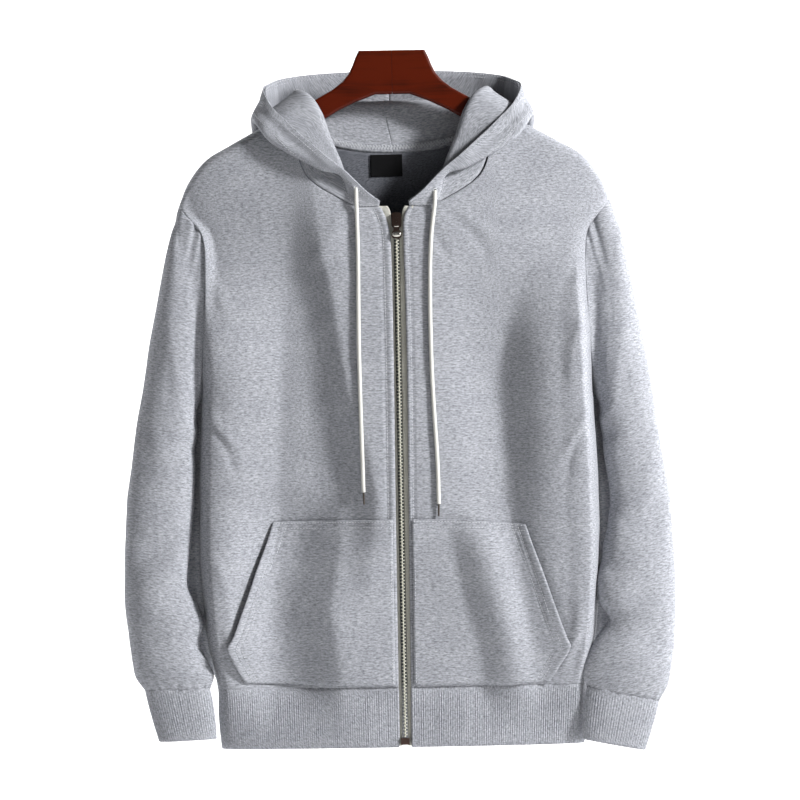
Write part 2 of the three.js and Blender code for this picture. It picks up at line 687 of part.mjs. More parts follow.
// The ribbed hem runs from one front edge round the back to the other
function buildHem() {
  const grids = { left: frontGrid("left"), right: frontGrid("right") };
  const last = (grid) => grid[grid.length - 1];
  const backRow = last(backHalf());
  const rows = Array.from({ length: RIB_ROWS + 1 }, (_, i) => {
    const drop = HEM_SEAM + ((HEM_END - HEM_SEAM) * i) / RIB_ROWS;
    const half = lookup(BODY, "drop", "half", drop);
    const seamHalf = lookup(BODY, "drop", "half", HEM_SEAM);
    const fronts = {};
    for (const side of SIDES) {
      const seamEdge = last(grids[side])[0].x;
      const edge = lookup(FRONT_EDGE[side], "drop", "x", drop);
      fronts[side] = last(grids[side]).map(({ x }) => {
        const at = edge + ((x - seamEdge) * (half - edge)) / (seamHalf - seamEdge);
        return point(side === "left" ? at : -at, frontY(side, at, drop), drop);
      });
    }
    const backHalfRow = backRow.slice(1, -1).map(({ x }) => (x * half) / seamHalf);
    const xs = [...backHalfRow.slice().reverse(), 0, ...backHalfRow.map((x) => -x)];
    return [...fronts.left, ...xs.map((x) => point(x, backY(x, drop), drop)), ...fronts.right.reverse()];
  });
  const square = (i) => (i === 0 || i === RIB_ROWS ? "z" : "");
  add("hem_rib", wall(rows, RIB_KNIT, { square }), COLOURS.rib);
}

// One section of the hood's middle surface, from the neck seam to the rim
function hoodSection(seam, row, bias) {
  const rim = new THREE.Vector3(row.rx + bias.rim, row.ry, -row.rd);
  if (row.turn === undefined) {
    const steps = 11;
    return Array.from({ length: steps + 1 }, (_, i) => seam.clone().lerp(rim, i / steps));
  }
  const turn = THREE.MathUtils.degToRad(row.turn);
  const out = new THREE.Vector3(Math.cos(turn), Math.sin(turn), 0);
  const up = new THREE.Vector3(0, 0, 1);
  const ridge = new THREE.Vector3(row.px + bias.ridge, row.py, -row.pd);
  const gutter = new THREE.Vector3(row.gx + bias.gutter, row.gy, -row.gd);
  const near = (from, side, lift) => from.clone().addScaledVector(out, side).addScaledVector(up, lift);
  const ridgeIn = near(ridge, -row.pw / 2, -row.pw / 2);
  const ridgeOut = near(ridge, row.pw / 2, -row.pw / 2);
  const gutterIn = near(gutter, -row.gw / 2, row.gw / 2);
  const gutterOut = near(gutter, row.gw / 2, row.gw / 2);
  const slack = Math.min(1, rim.distanceTo(gutter) / 90) * HOOD_BELLY;
  return [
    seam,
    seam.clone().lerp(ridgeIn, 0.5),
    ridgeIn,
    ridge,
    ridgeOut,
    ridgeOut.clone().lerp(gutterIn, 0.33),
    ridgeOut.clone().lerp(gutterIn, 0.67),
    gutterIn,
    gutter,
    gutterOut,
    gutterOut.clone().lerp(rim, 0.5).addScaledVector(out, slack),
    rim,
  ];
}

function hoodGrid(side) {
  const seam = [...NECK_FRONT, ...NECK_BACK];
  const sign = side === "left" ? 1 : -1;
  const middle = FLEECE / 2;
  const columns = seam.map(({ x, drop }, j) => {
    const isFront = j < NECK_FRONT.length;
    const y = isFront ? frontY(side, x, drop) + middle : backY(sign * x, drop) - middle;
    const share = Math.max(0, (j - NECK_FRONT.length) / (NECK_BACK.length - 1));
    const shift = -sign * share * share;
    const bias = { ridge: 10 * shift, gutter: 5 * shift, rim: 4 * shift };
    const start = point(x, y, drop);
    const section = hoodSection(start, HOOD[j], bias);
    const [before, after] = [seam[Math.max(j - 1, 0)], seam[Math.min(j + 1, seam.length - 1)]];
    const fall = after.drop - before.drop;
    const steep = Math.abs(fall) / Math.hypot(fall, after.x - before.x);
    const stand = HOOD_STAND + HOOD_STAND_STEEP * steep ** 2;
    section[0] = start.clone().add(section[1].clone().sub(start).setLength(stand));
    return section;
  });
  return columns[0].map((_, i) => columns.map((column) => column[i]));
}

// Outer cloth and lining lie on the two sides of one surface
function buildHood() {
  for (const side of SIDES) {
    const rows = hoodGrid(side);
    const half = HOOD_LAYER_GAP / 2;
    const square = (i, j) => (j === rows[0].length - 1 ? "x" : "");
    const outer = wall(rows, HOOD_LAYER, { square, back: half, turned: true });
    const lining = wall(rows, HOOD_LAYER, { square, back: -half - HOOD_LAYER, turned: true });
    add("hood_outer_" + side, placed(side, outer), COLOURS.heather);
    add("hood_lining_" + side, placed(side, lining), COLOURS.heather);
  }
}

// Patch pockets from the front's own points, moved out and filled a little towards the mouth
function buildPockets() {
  for (const side of SIDES) {
    const mouth = POCKET_MOUTH[side];
    const hem = HEM_SEAM - 2;
    const rows = mouth.map(({ x: mouthX, drop: mouthDrop }, i) => {
      const down = i / (mouth.length - 1);
      const level = POCKET_TOP + (hem - POCKET_TOP) * down;
      return Array.from({ length: POCKET_COLUMNS + 1 }, (_, j) => {
        const across = j / POCKET_COLUMNS;
        const drop = level + (mouthDrop - level) * across ** 2;
        const inner = lookup(FRONT_EDGE[side], "drop", "x", drop) + POCKET_INSET;
        const x = inner + (mouthX - inner) * across;
        const fill = Math.sin(Math.PI * down) ** 0.8 * Math.min(1, 1.6 * across) * POCKET_FILL[side];
        return point(x, frontY(side, x, drop) - POCKET_CLEAR - FLEECE - fill, drop);
      });
    });
    add("pocket_" + side, placed(side, wall(rows, FLEECE, {})), COLOURS.heather);
  }
}

const zipFace = (drop) => -lookup(BODY, "drop", "front", drop);

function zipDrops(from, to) {
  const steps = Math.round((to - from) / ZIP_STEP);
  return Array.from({ length: steps + 1 }, (_, i) => from + ((to - from) * i) / steps);
}

function strip(drops, leftOf, rightOf, thick, setBack) {
  const rows = drops.map((drop) => {
    const y = zipFace(drop) + setBack;
    return [point(leftOf(drop), y, drop), point(rightOf(drop), y, drop)];
  });
  return wall(rows, thick, { trim: 0.01 });
}

// Half the opening between the tapes: the chain's half width, wider at the slider and above it
function tapeStart(drop) {
  const closed = CHAIN_WIDTH / 2 + SEAM_GAP;
  const atSlider = SLIDER.width / 2 + SEAM_GAP;
  if (drop > CHAIN_TOP) return closed;
  return drop > SLIDER.top ? atSlider : atSlider + (SLIDER.top - drop) * 0.35;
}

function buildZip() {
  const half = CHAIN_WIDTH / 2;
  const chain = strip(
    zipDrops(CHAIN_TOP, CHAIN_END), () => ZIP_X - half, () => ZIP_X + half, CHAIN_THICK, CHAIN_SET_BACK,
  );
  add("zip_chain", chain, COLOURS.teeth, 0.5);
  const drops = [NECK_FRONT_DROP + 1, SLIDER.top, CHAIN_TOP, ...zipDrops(CHAIN_TOP + 3, TAPE_END)];
  for (const side of SIDES) {
    const sign = side === "left" ? 1 : -1;
    const inner = (drop) => ZIP_X + sign * tapeStart(drop);
    const outer = (drop) => ZIP_X + sign * (tapeStart(drop) + TAPE_WIDTH);
    const [a, b] = sign > 0 ? [inner, outer] : [outer, inner];
    add("zip_tape_" + side, strip(drops, a, b, TAPE_THICK, TAPE_SET_BACK), COLOURS.tape, 0.9);
  }
  const boxY = zipFace(CHAIN_END + 4) + TAPE_SET_BACK - SEAM_GAP - BOX.thick / 2;
  const boxDrop = CHAIN_END + SEAM_GAP + BOX.height / 2;
  add("zip_box", box(BOX.width, BOX.thick, BOX.height, ZIP_X, boxY, boxDrop), COLOURS.metal, 0.4, 0.9);
}

// A plate seen from the front, as an outline with its thickness along Y, front face at y
function plate(shape, thick, y, bevel = 0) {
  const settings = { depth: thick - 2 * bevel, bevelEnabled: bevel > 0, curveSegments: 8 };
  Object.assign(settings, { bevelThickness: bevel, bevelSize: bevel, bevelOffset: -bevel, bevelSegments: 2 });
  const geometry = new THREE.ExtrudeGeometry(shape, settings);
  geometry.translate(0, 0, bevel - thick).rotateX(Math.PI / 2).translate(0, y, 0);
  return mergeVertices(geometry.deleteAttribute("normal").deleteAttribute("uv"), 1e-4);
}

function buildSlider() {
  const { top, bottom, width, throat, plate: thick, proud, sunk } = SLIDER;
  const face = zipFace((top + bottom) / 2);
  const outline = new THREE.Shape();
  outline.moveTo(ZIP_X - throat / 2, -bottom);
  outline.lineTo(ZIP_X + throat / 2, -bottom);
  outline.lineTo(ZIP_X + width / 2, -top - 4);
  outline.quadraticCurveTo(ZIP_X + width / 2, -top, ZIP_X + 1.5, -top);
  outline.lineTo(ZIP_X - 1.5, -top);
  outline.quadraticCurveTo(ZIP_X - width / 2, -top, ZIP_X - width / 2, -top - 4);
  outline.closePath();
  const front = face - proud;
  const bridgeMiddle = (BRIDGE.top + BRIDGE.bottom) / 2;
  const bridgeHeight = BRIDGE.bottom - BRIDGE.top;
  const barY = front - BRIDGE.reach + BRIDGE.bar / 2;
  const legY = front - BRIDGE.reach / 2 + 0.1;
  const legDrops = [BRIDGE.top + BRIDGE.leg / 2, BRIDGE.bottom - BRIDGE.leg / 2];
  const pieces = [
    plate(outline, thick, front),
    plate(outline, thick, face + sunk - thick),
    box(throat - 3, sunk + proud - 0.2, bottom - top - 1, ZIP_X, face + (sunk - proud) / 2, (top + bottom) / 2),
    box(BRIDGE.width, BRIDGE.bar, bridgeHeight, ZIP_X, barY, bridgeMiddle),
    ...legDrops.map((drop) => box(BRIDGE.width, BRIDGE.reach + 0.2, BRIDGE.leg, ZIP_X, legY, drop)),
  ];
  const solid = pieces.map(solidOf).reduce((sum, piece) => sum.add(piece));
  add("zip_slider", geometryOf(solid), COLOURS.metal, 0.35, 0.95);
}

// The pull tab hangs from the slider's bridge by the slotted eye at its top
function buildPull() {
  const outline = new THREE.Shape();
  const topZ = -PULL.axis + PULL.thick / 2;
  const endZ = -PULL.axis - PULL.length;
  const [eye, neck, wide] = [PULL.eye / 2, PULL.neck / 2, PULL.end / 2];
  const slotEnd = -PULL.axis - PULL.thick / 2 - 8.2;
  const oval = endZ + PULL.endHeight;
  outline.moveTo(ZIP_X - eye, topZ);
  outline.lineTo(ZIP_X - eye, slotEnd);
  outline.lineTo(ZIP_X - neck, oval + 1.5);
  outline.quadraticCurveTo(ZIP_X - wide, oval, ZIP_X - wide, endZ + PULL.endHeight / 2);
  outline.quadraticCurveTo(ZIP_X - wide, endZ, ZIP_X, endZ);
  outline.quadraticCurveTo(ZIP_X + wide, endZ, ZIP_X + wide, endZ + PULL.endHeight / 2);
  outline.quadraticCurveTo(ZIP_X + wide, oval, ZIP_X + neck, oval + 1.5);
  outline.lineTo(ZIP_X + eye, slotEnd);
  outline.lineTo(ZIP_X + eye, topZ);
  outline.closePath();
  const slot = PULL.slot / 2;
  const slotTop = -PULL.axis - PULL.thick / 2;
  const hole = new THREE.Path();
  hole.moveTo(ZIP_X - slot, slotTop);
  hole.lineTo(ZIP_X + slot, slotTop);
  hole.lineTo(ZIP_X + slot, slotEnd + 1.6);
  hole.lineTo(ZIP_X - slot, slotEnd + 1.6);
  hole.closePath();
  outline.holes.push(hole);
  add("pull_tab", plate(outline, PULL.thick, pullFront()), COLOURS.metal, 0.35, 0.95);
}

function pullFront() {
  const front = zipFace((SLIDER.top + SLIDER.bottom) / 2) - SLIDER.proud;
  const room = BRIDGE.reach - BRIDGE.bar;
  return front - room / 2 - PULL.thick / 2;
}

// A regular polygon as the section of a round piece
function roundSection(diameter, sides) {
  const shape = new THREE.Shape();
  for (let i = 0; i < sides; i++) {
    const angle = (2 * Math.PI * i) / sides;
    const [x, y] = [(Math.cos(angle) * diameter) / 2, (Math.sin(angle) * diameter) / 2];
    if (i) shape.lineTo(x, y);
    else shape.moveTo(x, y);
  }
  shape.closePath();
  return shape;
}

function tube(points, diameter, sides, steps) {
  const path = new THREE.CatmullRomCurve3(points);
  const settings = { steps, extrudePath: path, bevelEnabled: false };
  const geometry = new THREE.ExtrudeGeometry(roundSection(diameter, sides), settings);
  return mergeVertices(geometry.deleteAttribute("normal").deleteAttribute("uv"), 1e-4);
}

function buildCords() {
  for (const side of SIDES) {
    const sign = side === "left" ? 1 : -1;
    const route = CORD[side].map(({ x, stand, drop }) =>
      point(sign * x, frontY(side, x, drop) - stand - CORD_DIAMETER / 2, drop));
    add("drawcord_" + side, tube(route, CORD_DIAMETER, CORD_SIDES, CORD_STEPS), COLOURS.cord, 0.9);
    const from = route[route.length - 1].clone().add(new THREE.Vector3(0, 0, -SEAM_GAP));
    const to = from.clone().add(new THREE.Vector3(-sign * TIP.lean, 0, -TIP.length));
    add("cord_tip_" + side, tube([from, to], TIP.diameter, CORD_SIDES, 1), COLOURS.tip, 0.4, 0.8);
  }
}

function buildLabel() {
  const rows = Array.from({ length: 4 }, (_, i) => {
    const drop = LABEL.top + (LABEL.height * i) / 3;
    return Array.from({ length: 5 }, (_, j) => {
      const x = LABEL.x - LABEL.width / 2 + (LABEL.width * j) / 4;
      return point(x, backY(x, drop) - FLEECE - LABEL.thick - 0.6, drop);
    });
  });
  add("neck_label", wall(rows, LABEL.thick, { trim: 0.01 }), COLOURS.label, 0.8);
}

function buildHanger() {
  const arm = HANGER_ARM.map((x) => ({ x, drop: shoulderDrop(x) + HANGER.seat }));
  const half = [...HANGER_TOP, ...arm, ...HANGER_UNDER].filter(({ x }) => x > 0);
  const round = [...half, ...half.map(({ x, drop }) => ({ x: -x, drop })).reverse()];
  const outline = new THREE.Shape(round.map(({ x, drop }) => new THREE.Vector2(x, -drop)));
  outline.closePath();
  const whole = solidOf(plate(outline, HANGER.thick, -HANGER.thick / 2, HANGER.bevel));
  const wood = geometryOf(whole.trimByPlane([1, 0, 0], SEAM_GAP / 2));
  for (const side of SIDES) add("hanger_" + side, placed(side, wood), COLOURS.wood, 0.35);
}

buildHanger();
buildBack();
buildFronts();
buildSleeves();
buildHem();
buildHood();
buildPockets();
buildZip();
buildSlider();
buildPull();
buildCords();
buildLabel();

export default hoodie;
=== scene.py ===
from math import pi, radians

import bpy
import numpy as np
from mathutils import Matrix, Vector


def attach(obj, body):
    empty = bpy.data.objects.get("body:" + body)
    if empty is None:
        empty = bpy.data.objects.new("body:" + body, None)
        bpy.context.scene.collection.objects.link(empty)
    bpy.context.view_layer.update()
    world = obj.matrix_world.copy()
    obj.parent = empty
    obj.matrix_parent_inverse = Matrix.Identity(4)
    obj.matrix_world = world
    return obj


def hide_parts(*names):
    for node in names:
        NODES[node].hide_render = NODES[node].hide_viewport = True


bl_info = {
    "name": "Zip-up hoodie on a wooden hanger", "version": (1, 0, 0), "blender": (4, 5, 0),
    "location": "View3D > Sidebar > Hoodie",
    "description": "Dresses the frame of a grey heather zip-up hoodie on a wooden hanger",
    "category": "Object"
}

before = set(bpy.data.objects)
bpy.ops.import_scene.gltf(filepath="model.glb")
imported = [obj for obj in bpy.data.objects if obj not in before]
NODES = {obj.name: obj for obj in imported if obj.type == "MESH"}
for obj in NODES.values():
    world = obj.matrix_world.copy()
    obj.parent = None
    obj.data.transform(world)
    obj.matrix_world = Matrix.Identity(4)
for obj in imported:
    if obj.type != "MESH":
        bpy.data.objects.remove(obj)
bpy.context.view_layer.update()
SIDES = ("left", "right")
SIGN = {"left": 1, "right": -1}
MIRROR = np.array([-1, 1, 1])

# Tables are in millimetres. Heights are given as drop, the distance below the origin, and x
# runs outwards from the middle of the body.


def table(columns, rows):
    """A dict of named columns from rows of numbers."""
    return dict(zip(columns.split(), np.array(rows, float).T))


def rows_of(columns):
    """The rows of a table, each as a dict."""
    return [dict(zip(columns, row)) for row in zip(*columns.values())]


# Heights of the main seams
HEM_SEAM, HEM_END = 703.0, 769.0
NECK_DROP, UNDERARM_DROP = 173.0, 383.0

# The body's section by height: half width, depths from the middle, and the depth left at the
# edge where the sleeve is set in
BODY = table("drop half front back armhole", [
    (40, 240, 14, 14, 0), (80, 240, 17, 16, 0), (113, 240, 24, 20, 0), (173, 237, 32, 26, 4),
    (191, 221, 33.5, 27, 11), (204, 213, 34, 28, 14), (225, 210, 35, 29, 17),
    (260, 210.5, 36.5, 31, 20), (300, 212.5, 38, 33, 21), (340, 214, 39, 34, 16),
    (383, 216, 40, 34.5, 0), (440, 219, 40, 34, 0), (506, 221.5, 39, 33, 0),
    (560, 221.5, 38, 32, 0), (605, 219.5, 36.5, 31, 0), (655, 214, 34, 30, 0),
    (703, 204.5, 30, 27, 0), (736, 202.5, 28, 25, 0), (769, 201, 27, 24, 0)
])
BODY_SQUARENESS = 2.6
SHOULDER_ROUND = 10.0
EDGE_HOLD = 3

NECK_FRONT = table("x drop", [
    (17, 173), (34, 173.5), (49, 170), (68, 160.5), (85, 150), (98, 137), (106, 116), (110, 92),
    (112, 74), (113, 64.9)
])
NECK_BACK = table("x drop", [
    (112.5, 69.5), (109, 80), (97, 92), (76, 102), (51, 108.5), (25, 112), (0, 113)
])
SHOULDER = table("x drop", [
    (113, 64.9), (132, 75.4), (157, 89.2), (183, 103.6), (209.5, 120), (228, 144), (239, 170)
])
ARMHOLE = table("x drop", [
    (239, 170), (237, 172.3), (234, 175.3), (229, 180.5), (221, 191), (213, 204), (210, 225),
    (210.5, 260), (212.5, 300), (214, 340), (216, 383)
])

# The folded front edges beside the zip; both open out at the neck
FRONT_EDGE = {
    "left": table("drop x", [
        (173, 16.5), (187, 10.5), (211, 10), (330, 11.5), (497, 10.8), (769, 9.3)
    ]),
    "right": table("drop x", [
        (173, 16), (192, 8.3), (211, 5.3), (330, 4.2), (497, 4.8), (769, 5)
    ])
}

# Large soft folds: middle x, drops of both ends, lean of x over that run, half width across and
# depth inwards (negative stands proud)
FOLD_COLUMNS = "x start end lean width depth"
FOLDS = {
    "front_left": table(FOLD_COLUMNS, [(112, 215, 590, 4, 42, 11), (84, 195, 430, -14, 24, 2)]),
    "front_right": table(FOLD_COLUMNS, [(150, 480, 740, 4, 34, 4)]),
    "back": table(FOLD_COLUMNS, [
        (-120, 190, 520, -26, 36, 6), (132, 210, 560, 22, 32, 6.5), (46, 330, 690, 14, 30, 4),
        (-60, 380, 700, -10, 26, 4.5), (-182, 300, 640, -4, 18, -3)
    ])
}

# Folds with one steep wall: the line of the wall's foot or top, then how soon the wall reaches
# its full depth going outwards and how far it lasts, with the depth inwards. WALL_FADE is the
# share of the line over which a fold comes and goes, and WALL_SOFT rounds its foot
WALL_FADE, WALL_SOFT = 0.28, 14.0
WALL_FOLDS = {
    "front_left": [
        (
            table("drop x", [
                (200, 156), (264, 140), (319, 121), (374, 112.6), (429, 118), (484, 117),
                (560, 123), (610, 134), (700, 148), (800, 165)
            ]),
            40, 240, -16
        ),
        (table("drop x", [(190, 130), (374, 118), (560, 130), (840, 150)]), 125, 400, -22),
        (table("drop x", [(150, 182), (374, 180), (560, 184), (780, 180)]), 36, 300, -10),
        (table("drop x", [(490, 48), (572, 63), (616, 74), (660, 86), (755, 98)]), 36, 58, -17)
    ],
    "front_right": [
        (
            table("drop x", [
                (100, 92), (209, 83), (264, 72), (319, 63), (374, 54.6), (429, 38), (484, 28),
                (560, 30), (640, 44)
            ]),
            32, 240, 19
        ),
        (table("drop x", [(180, 118), (374, 128), (560, 138), (810, 150)]), 66, 300, -23),
        (table("drop x", [(470, 58), (572, 69), (616, 76), (660, 71), (760, 66)]), 52, 96, 25)
    ],
    "back": []
}

# Creases of the cloth, listed one by one: both ends, half width and height (negative is a trough)
CREASE_COLUMNS = "x1 drop1 x2 drop2 width height"
CREASES = {
    "front_left": table(CREASE_COLUMNS, [
        (208, 398, 176, 452, 5, 1.6), (210, 414, 184, 474, 5, -1.4),
        (204, 214, 182, 268, 7, -1.4), (206, 300, 190, 372, 6, 1.2),
        (60, 182, 104, 236, 7, -1.2), (40, 178, 58, 232, 5, -0.9), (196, 612, 172, 690, 6, 1.2),
        (206, 640, 186, 700, 5, -1.2), (30, 664, 34, 700, 5, -0.8), (70, 182, 130, 214, 7, 0.9)
    ]),
    "front_right": table(CREASE_COLUMNS, [
        (208, 396, 172, 440, 6, 1.4), (210, 412, 180, 466, 5, -1.3),
        (204, 222, 184, 290, 7, 1.3), (62, 184, 96, 240, 8, 1.2), (44, 182, 50, 250, 5, -1.0),
        (204, 560, 190, 650, 6, 1.1), (200, 640, 178, 700, 5, -1.2), (28, 470, 26, 560, 6, 0.8)
    ]),
    "back": table(CREASE_COLUMNS, [
        (-208, 396, -168, 446, 6, 1.5), (206, 392, 162, 440, 6, 1.5),
        (210, 410, 176, 470, 5, -1.3), (-206, 416, -178, 470, 5, -1.2),
        (-60, 300, -96, 392, 9, -1.4), (70, 310, 104, 420, 9, -1.4),
        (-190, 600, -160, 690, 7, 1.2), (196, 610, 168, 696, 7, 1.2),
        (-20, 560, 10, 690, 9, -1.2)
    ])
}

# Sleeve sections by their outer and inner edges, from the armhole down to the cuff
SLEEVE_COLUMNS = "ox od ix id ahead depth"
SLEEVE = {
    "left": table(SLEEVE_COLUMNS, [
        (249, 200, 219.5, 386, 0, 24), (256.5, 237, 222, 392, 0, 26),
        (264.5, 277, 223.5, 402, 1, 26), (272, 320, 224, 418, 1, 25),
        (281, 368, 225, 437, 2, 24), (288.7, 424, 228, 462, 4, 23),
        (295.9, 474, 232.5, 492, 8, 22), (300, 520, 231, 525, 13, 22),
        (302, 556, 222, 556, 20, 23), (302.5, 586, 215, 587, 25, 24),
        (302, 612, 217.5, 610, 25, 23), (301.5, 636, 228.5, 632, 23, 21),
        (300, 660, 213, 654, 25, 22), (297, 684, 201, 676, 28, 20),
        (292, 706, 198, 692, 28, 17), (282, 723.5, 203, 705, 26, 13.5)
    ]),
    "right": table(SLEEVE_COLUMNS, [
        (247, 198, 219.5, 386, 0, 24), (256, 234, 222, 392, 0, 26), (264, 273, 223, 402, 1, 26),
        (273, 318, 223.5, 418, 1, 25), (281.5, 366, 224, 440, 2, 24),
        (290.5, 412, 225, 466, 3, 23), (297.5, 466, 227, 498, 4, 22),
        (302.7, 518, 230, 530, 6, 22), (305, 560, 234, 562, 8, 21),
        (305.3, 592, 234.5, 590, 10, 22), (304, 614, 223, 611, 12, 24),
        (302, 634, 218.4, 630, 13, 23), (300, 652, 223, 650, 15, 21),
        (298.3, 670, 214.7, 671, 16, 21), (294, 689, 208, 688, 17, 17),
        (284, 702.5, 212.5, 701, 17, 13.5)
    ])
}
CUFF_END = {
    "left": (266, 776.5, 196.5, 763, 25, 11.5), "right": (269.5, 759, 205.5, 756.5, 17, 11.5)
}

# Soft creases round a sleeve: share of its length and turn round it (0 outer edge, 0.25 front,
# 0.5 inner edge) at both ends, half widths along and across, and height
SLEEVE_CREASE_COLUMNS = "down turn width spread slant height"
SLEEVE_CREASES = {
    "left": table(SLEEVE_CREASE_COLUMNS, [
        (0.06, 0.30, 0.030, 0.16, 0.10, -1.4), (0.28, 0.42, 0.030, 0.10, -0.22, 1.8),
        (0.35, 0.40, 0.026, 0.10, -0.25, -2.2), (0.44, 0.20, 0.060, 0.09, 0.40, -2.0),
        (0.585, 0.16, 0.040, 0.08, 0.30, -2.4), (0.62, 0.38, 0.030, 0.12, -0.20, 2.6),
        (0.70, 0.40, 0.026, 0.12, -0.14, -3.0), (0.755, 0.22, 0.040, 0.07, 0.30, -2.6),
        (0.79, 0.38, 0.030, 0.13, 0.08, 2.8), (0.86, 0.40, 0.022, 0.10, 0.10, -2.4),
        (0.90, 0.24, 0.030, 0.08, -0.20, 1.8), (0.945, 0.34, 0.014, 0.10, 0.10, -2.2),
        (0.66, 0.66, 0.030, 0.12, 0.20, 2.6), (0.74, 0.64, 0.030, 0.12, 0.16, -2.8),
        (0.82, 0.66, 0.030, 0.12, -0.12, 2.4), (0.91, 0.74, 0.026, 0.14, 0.05, -2.2)
    ]),
    "right": table(SLEEVE_CREASE_COLUMNS, [
        (0.07, 0.28, 0.030, 0.16, 0.10, -1.4), (0.30, 0.42, 0.030, 0.10, -0.22, 1.6),
        (0.37, 0.40, 0.026, 0.10, -0.25, -2.0), (0.46, 0.16, 0.050, 0.08, 0.30, -1.8),
        (0.665, 0.24, 0.034, 0.15, -0.24, -4.2), (0.735, 0.30, 0.036, 0.14, -0.14, 3.0),
        (0.80, 0.40, 0.022, 0.10, 0.06, -2.6), (0.86, 0.26, 0.034, 0.13, 0.04, 2.2),
        (0.90, 0.44, 0.016, 0.06, 0.20, -2.4), (0.945, 0.41, 0.012, 0.05, 0.10, -2.6),
        (0.965, 0.24, 0.014, 0.12, 0.0, 1.6), (0.70, 0.66, 0.030, 0.12, 0.18, 2.4),
        (0.78, 0.64, 0.030, 0.12, 0.10, -2.8), (0.87, 0.68, 0.028, 0.13, -0.10, 2.2)
    ])
}

# The hood thrown back, a section for each point of the neck seam: turn is the outward direction
# in degrees, then the ridge (p), the gutter (g) and the rim (r), with the widths of both folds
HOOD_BANDS = table("rx ry rd", [(16, -33.5, 168.5), (30, -36, 158), (42, -37, 146)])
HOOD = table("turn px py pd pw gx gy gd gw rx ry rd", [
    (-80, 57.5, -27, 131.5, 5, 60, -34, 138, 5.5, 56.5, -39, 132),
    (-76, 65, -22, 110, 6, 76, -35, 133, 6, 73, -41, 119),
    (-68, 74, -18.5, 87, 7, 94, -34, 124, 8, 89, -39, 105),
    (-56, 81, -16, 68, 7.5, 115, -32, 113, 10, 106, -34, 90),
    (-38, 89, -13, 54, 8, 131, -30, 103, 10, 119, -27, 77),
    (-22, 97, -8.5, 46.5, 8.5, 140, -26, 92, 10, 130, -20, 66),
    (-5, 105, 1, 43, 9, 148, -10, 79, 9, 137, -8, 55),
    (12, 107, 11, 44, 9, 151, 8, 79, 9, 141, 5, 45),
    (27, 104, 17, 48, 9, 149, 23, 98, 10, 141.5, 17, 38),
    (45, 97, 22, 52, 9, 140, 36, 135, 11, 138, 28, 34),
    (65, 77, 26, 54, 9, 113, 47, 205, 12, 123, 46, 26.5),
    (78, 52, 27.5, 55, 9, 79, 52, 255, 13, 91, 57, 21.5),
    (86, 26, 28, 56, 9, 40, 54, 282, 14, 50, 62, 19),
    (90, 0, 28, 56, 9, 0, 55, 290, 14, 0, 64, 18)
])
HOOD_STAND, HOOD_STAND_STEEP = 0.6, 2.8
HOOD_BELLY = 3.0
# Seams in from the rim: two beside it and the drawcord's channel
HOOD_RIM_SEAMS, HOOD_CHANNEL = (1.6, 5.2), 21.0
HOOD_LAYER_GAP = 1.3

# Patch pockets: the slanted mouth and lower corner, and how far they stand off
POCKET_TOP = 519.0
POCKET_MOUTH = {
    "left": table("x drop", [
        (137, 526), (145, 550), (154, 575), (162.5, 600), (171, 625), (180, 650), (184, 661),
        (173, 681), (161, 700)
    ]),
    "right": table("x drop", [
        (139, 520), (147.5, 545), (157, 570), (166, 596), (175.5, 622), (184.5, 646),
        (191, 658), (183, 677), (173, 696)
    ])
}
POCKET_INSET, POCKET_CLEAR = 3.5, 1.0
POCKET_FILL = {"left": 6.0, "right": 7.0}
POCKET_MOUTH_SEAMS, POCKET_TOP_SEAMS = (9.5, 16.0), (2.0, 8.0)

# The zip
ZIP_X = 2.0
CHAIN_TOP, CHAIN_END, TAPE_END = 198.0, 759.0, 768.0
SLIDER_TOP = 181.0

# Drawcords from their eyelets down: x and how far they stand off the front, by drop
CORD_COLUMNS = "x stand drop"
CORD = {
    "left": table(CORD_COLUMNS, [
        (45.2, 5.4, 160.3), (44.9, 3.4, 167), (43.8, 1.5, 178), (40.6, 0.8, 202),
        (38.4, 0.6, 235), (37.5, 0.5, 278), (37.6, 0.5, 322), (38.4, 0.5, 366),
        (40.2, 0.5, 408), (42.2, 0.6, 446), (43, 0.8, 476), (43.2, 0.9, 502)
    ]),
    "right": table(CORD_COLUMNS, [
        (41.6, 7.3, 156), (41.6, 5, 163), (41.4, 1.8, 177), (41, 0.8, 202), (40.8, 0.7, 234),
        (41.2, 1, 276), (41.5, 1.2, 322), (41.2, 1, 368), (40.6, 0.6, 408), (39.9, 0.6, 446),
        (39.6, 0.7, 468), (39.2, 0.8, 488)
    ])
}

# The woven label inside the back neck
LABEL = {"x": -8.0, "top": 114.5, "width": 35.0, "height": 24.0}

# How far the back bellies out sideways behind the side seams
BACK_BELLY_START = 0.86
BACK_BELLY = table("drop spread", [
    (375, 0), (383, 8), (392, 12), (420, 14), (460, 18), (500, 21), (560, 23), (610, 23),
    (640, 20), (670, 14), (690, 6), (703, 0)
])

# Camera and photo: the photo's scale, the turn of its picture and the place of its middle
PHOTO_MM_PER_PIXEL = 1.10
PHOTO_TURN = radians(1.0)
PHOTO_MIDDLE = Vector((0.0026, -0.03, -0.3873))
PHOTO_PIXELS = 800
CAMERA_DISTANCE = 4.5
SENSOR_MM = 36.0

# Distance between the points of each mesh, and the seed of each piece's unevenness
PITCH = {"back": 3.2, "front": 2.6, "sleeve": 3.4, "pocket": 2.4, "cord": 3.0}
HOOD_PITCH_DOWN, HOOD_PITCH_ROUND = 2.4, 2.6
SEED = {
    "back": 11, "front": 21, "sleeve": 31, "cuff": 41, "hem": 51, "hood": 61, "pocket": 71,
    "tape": 81
}


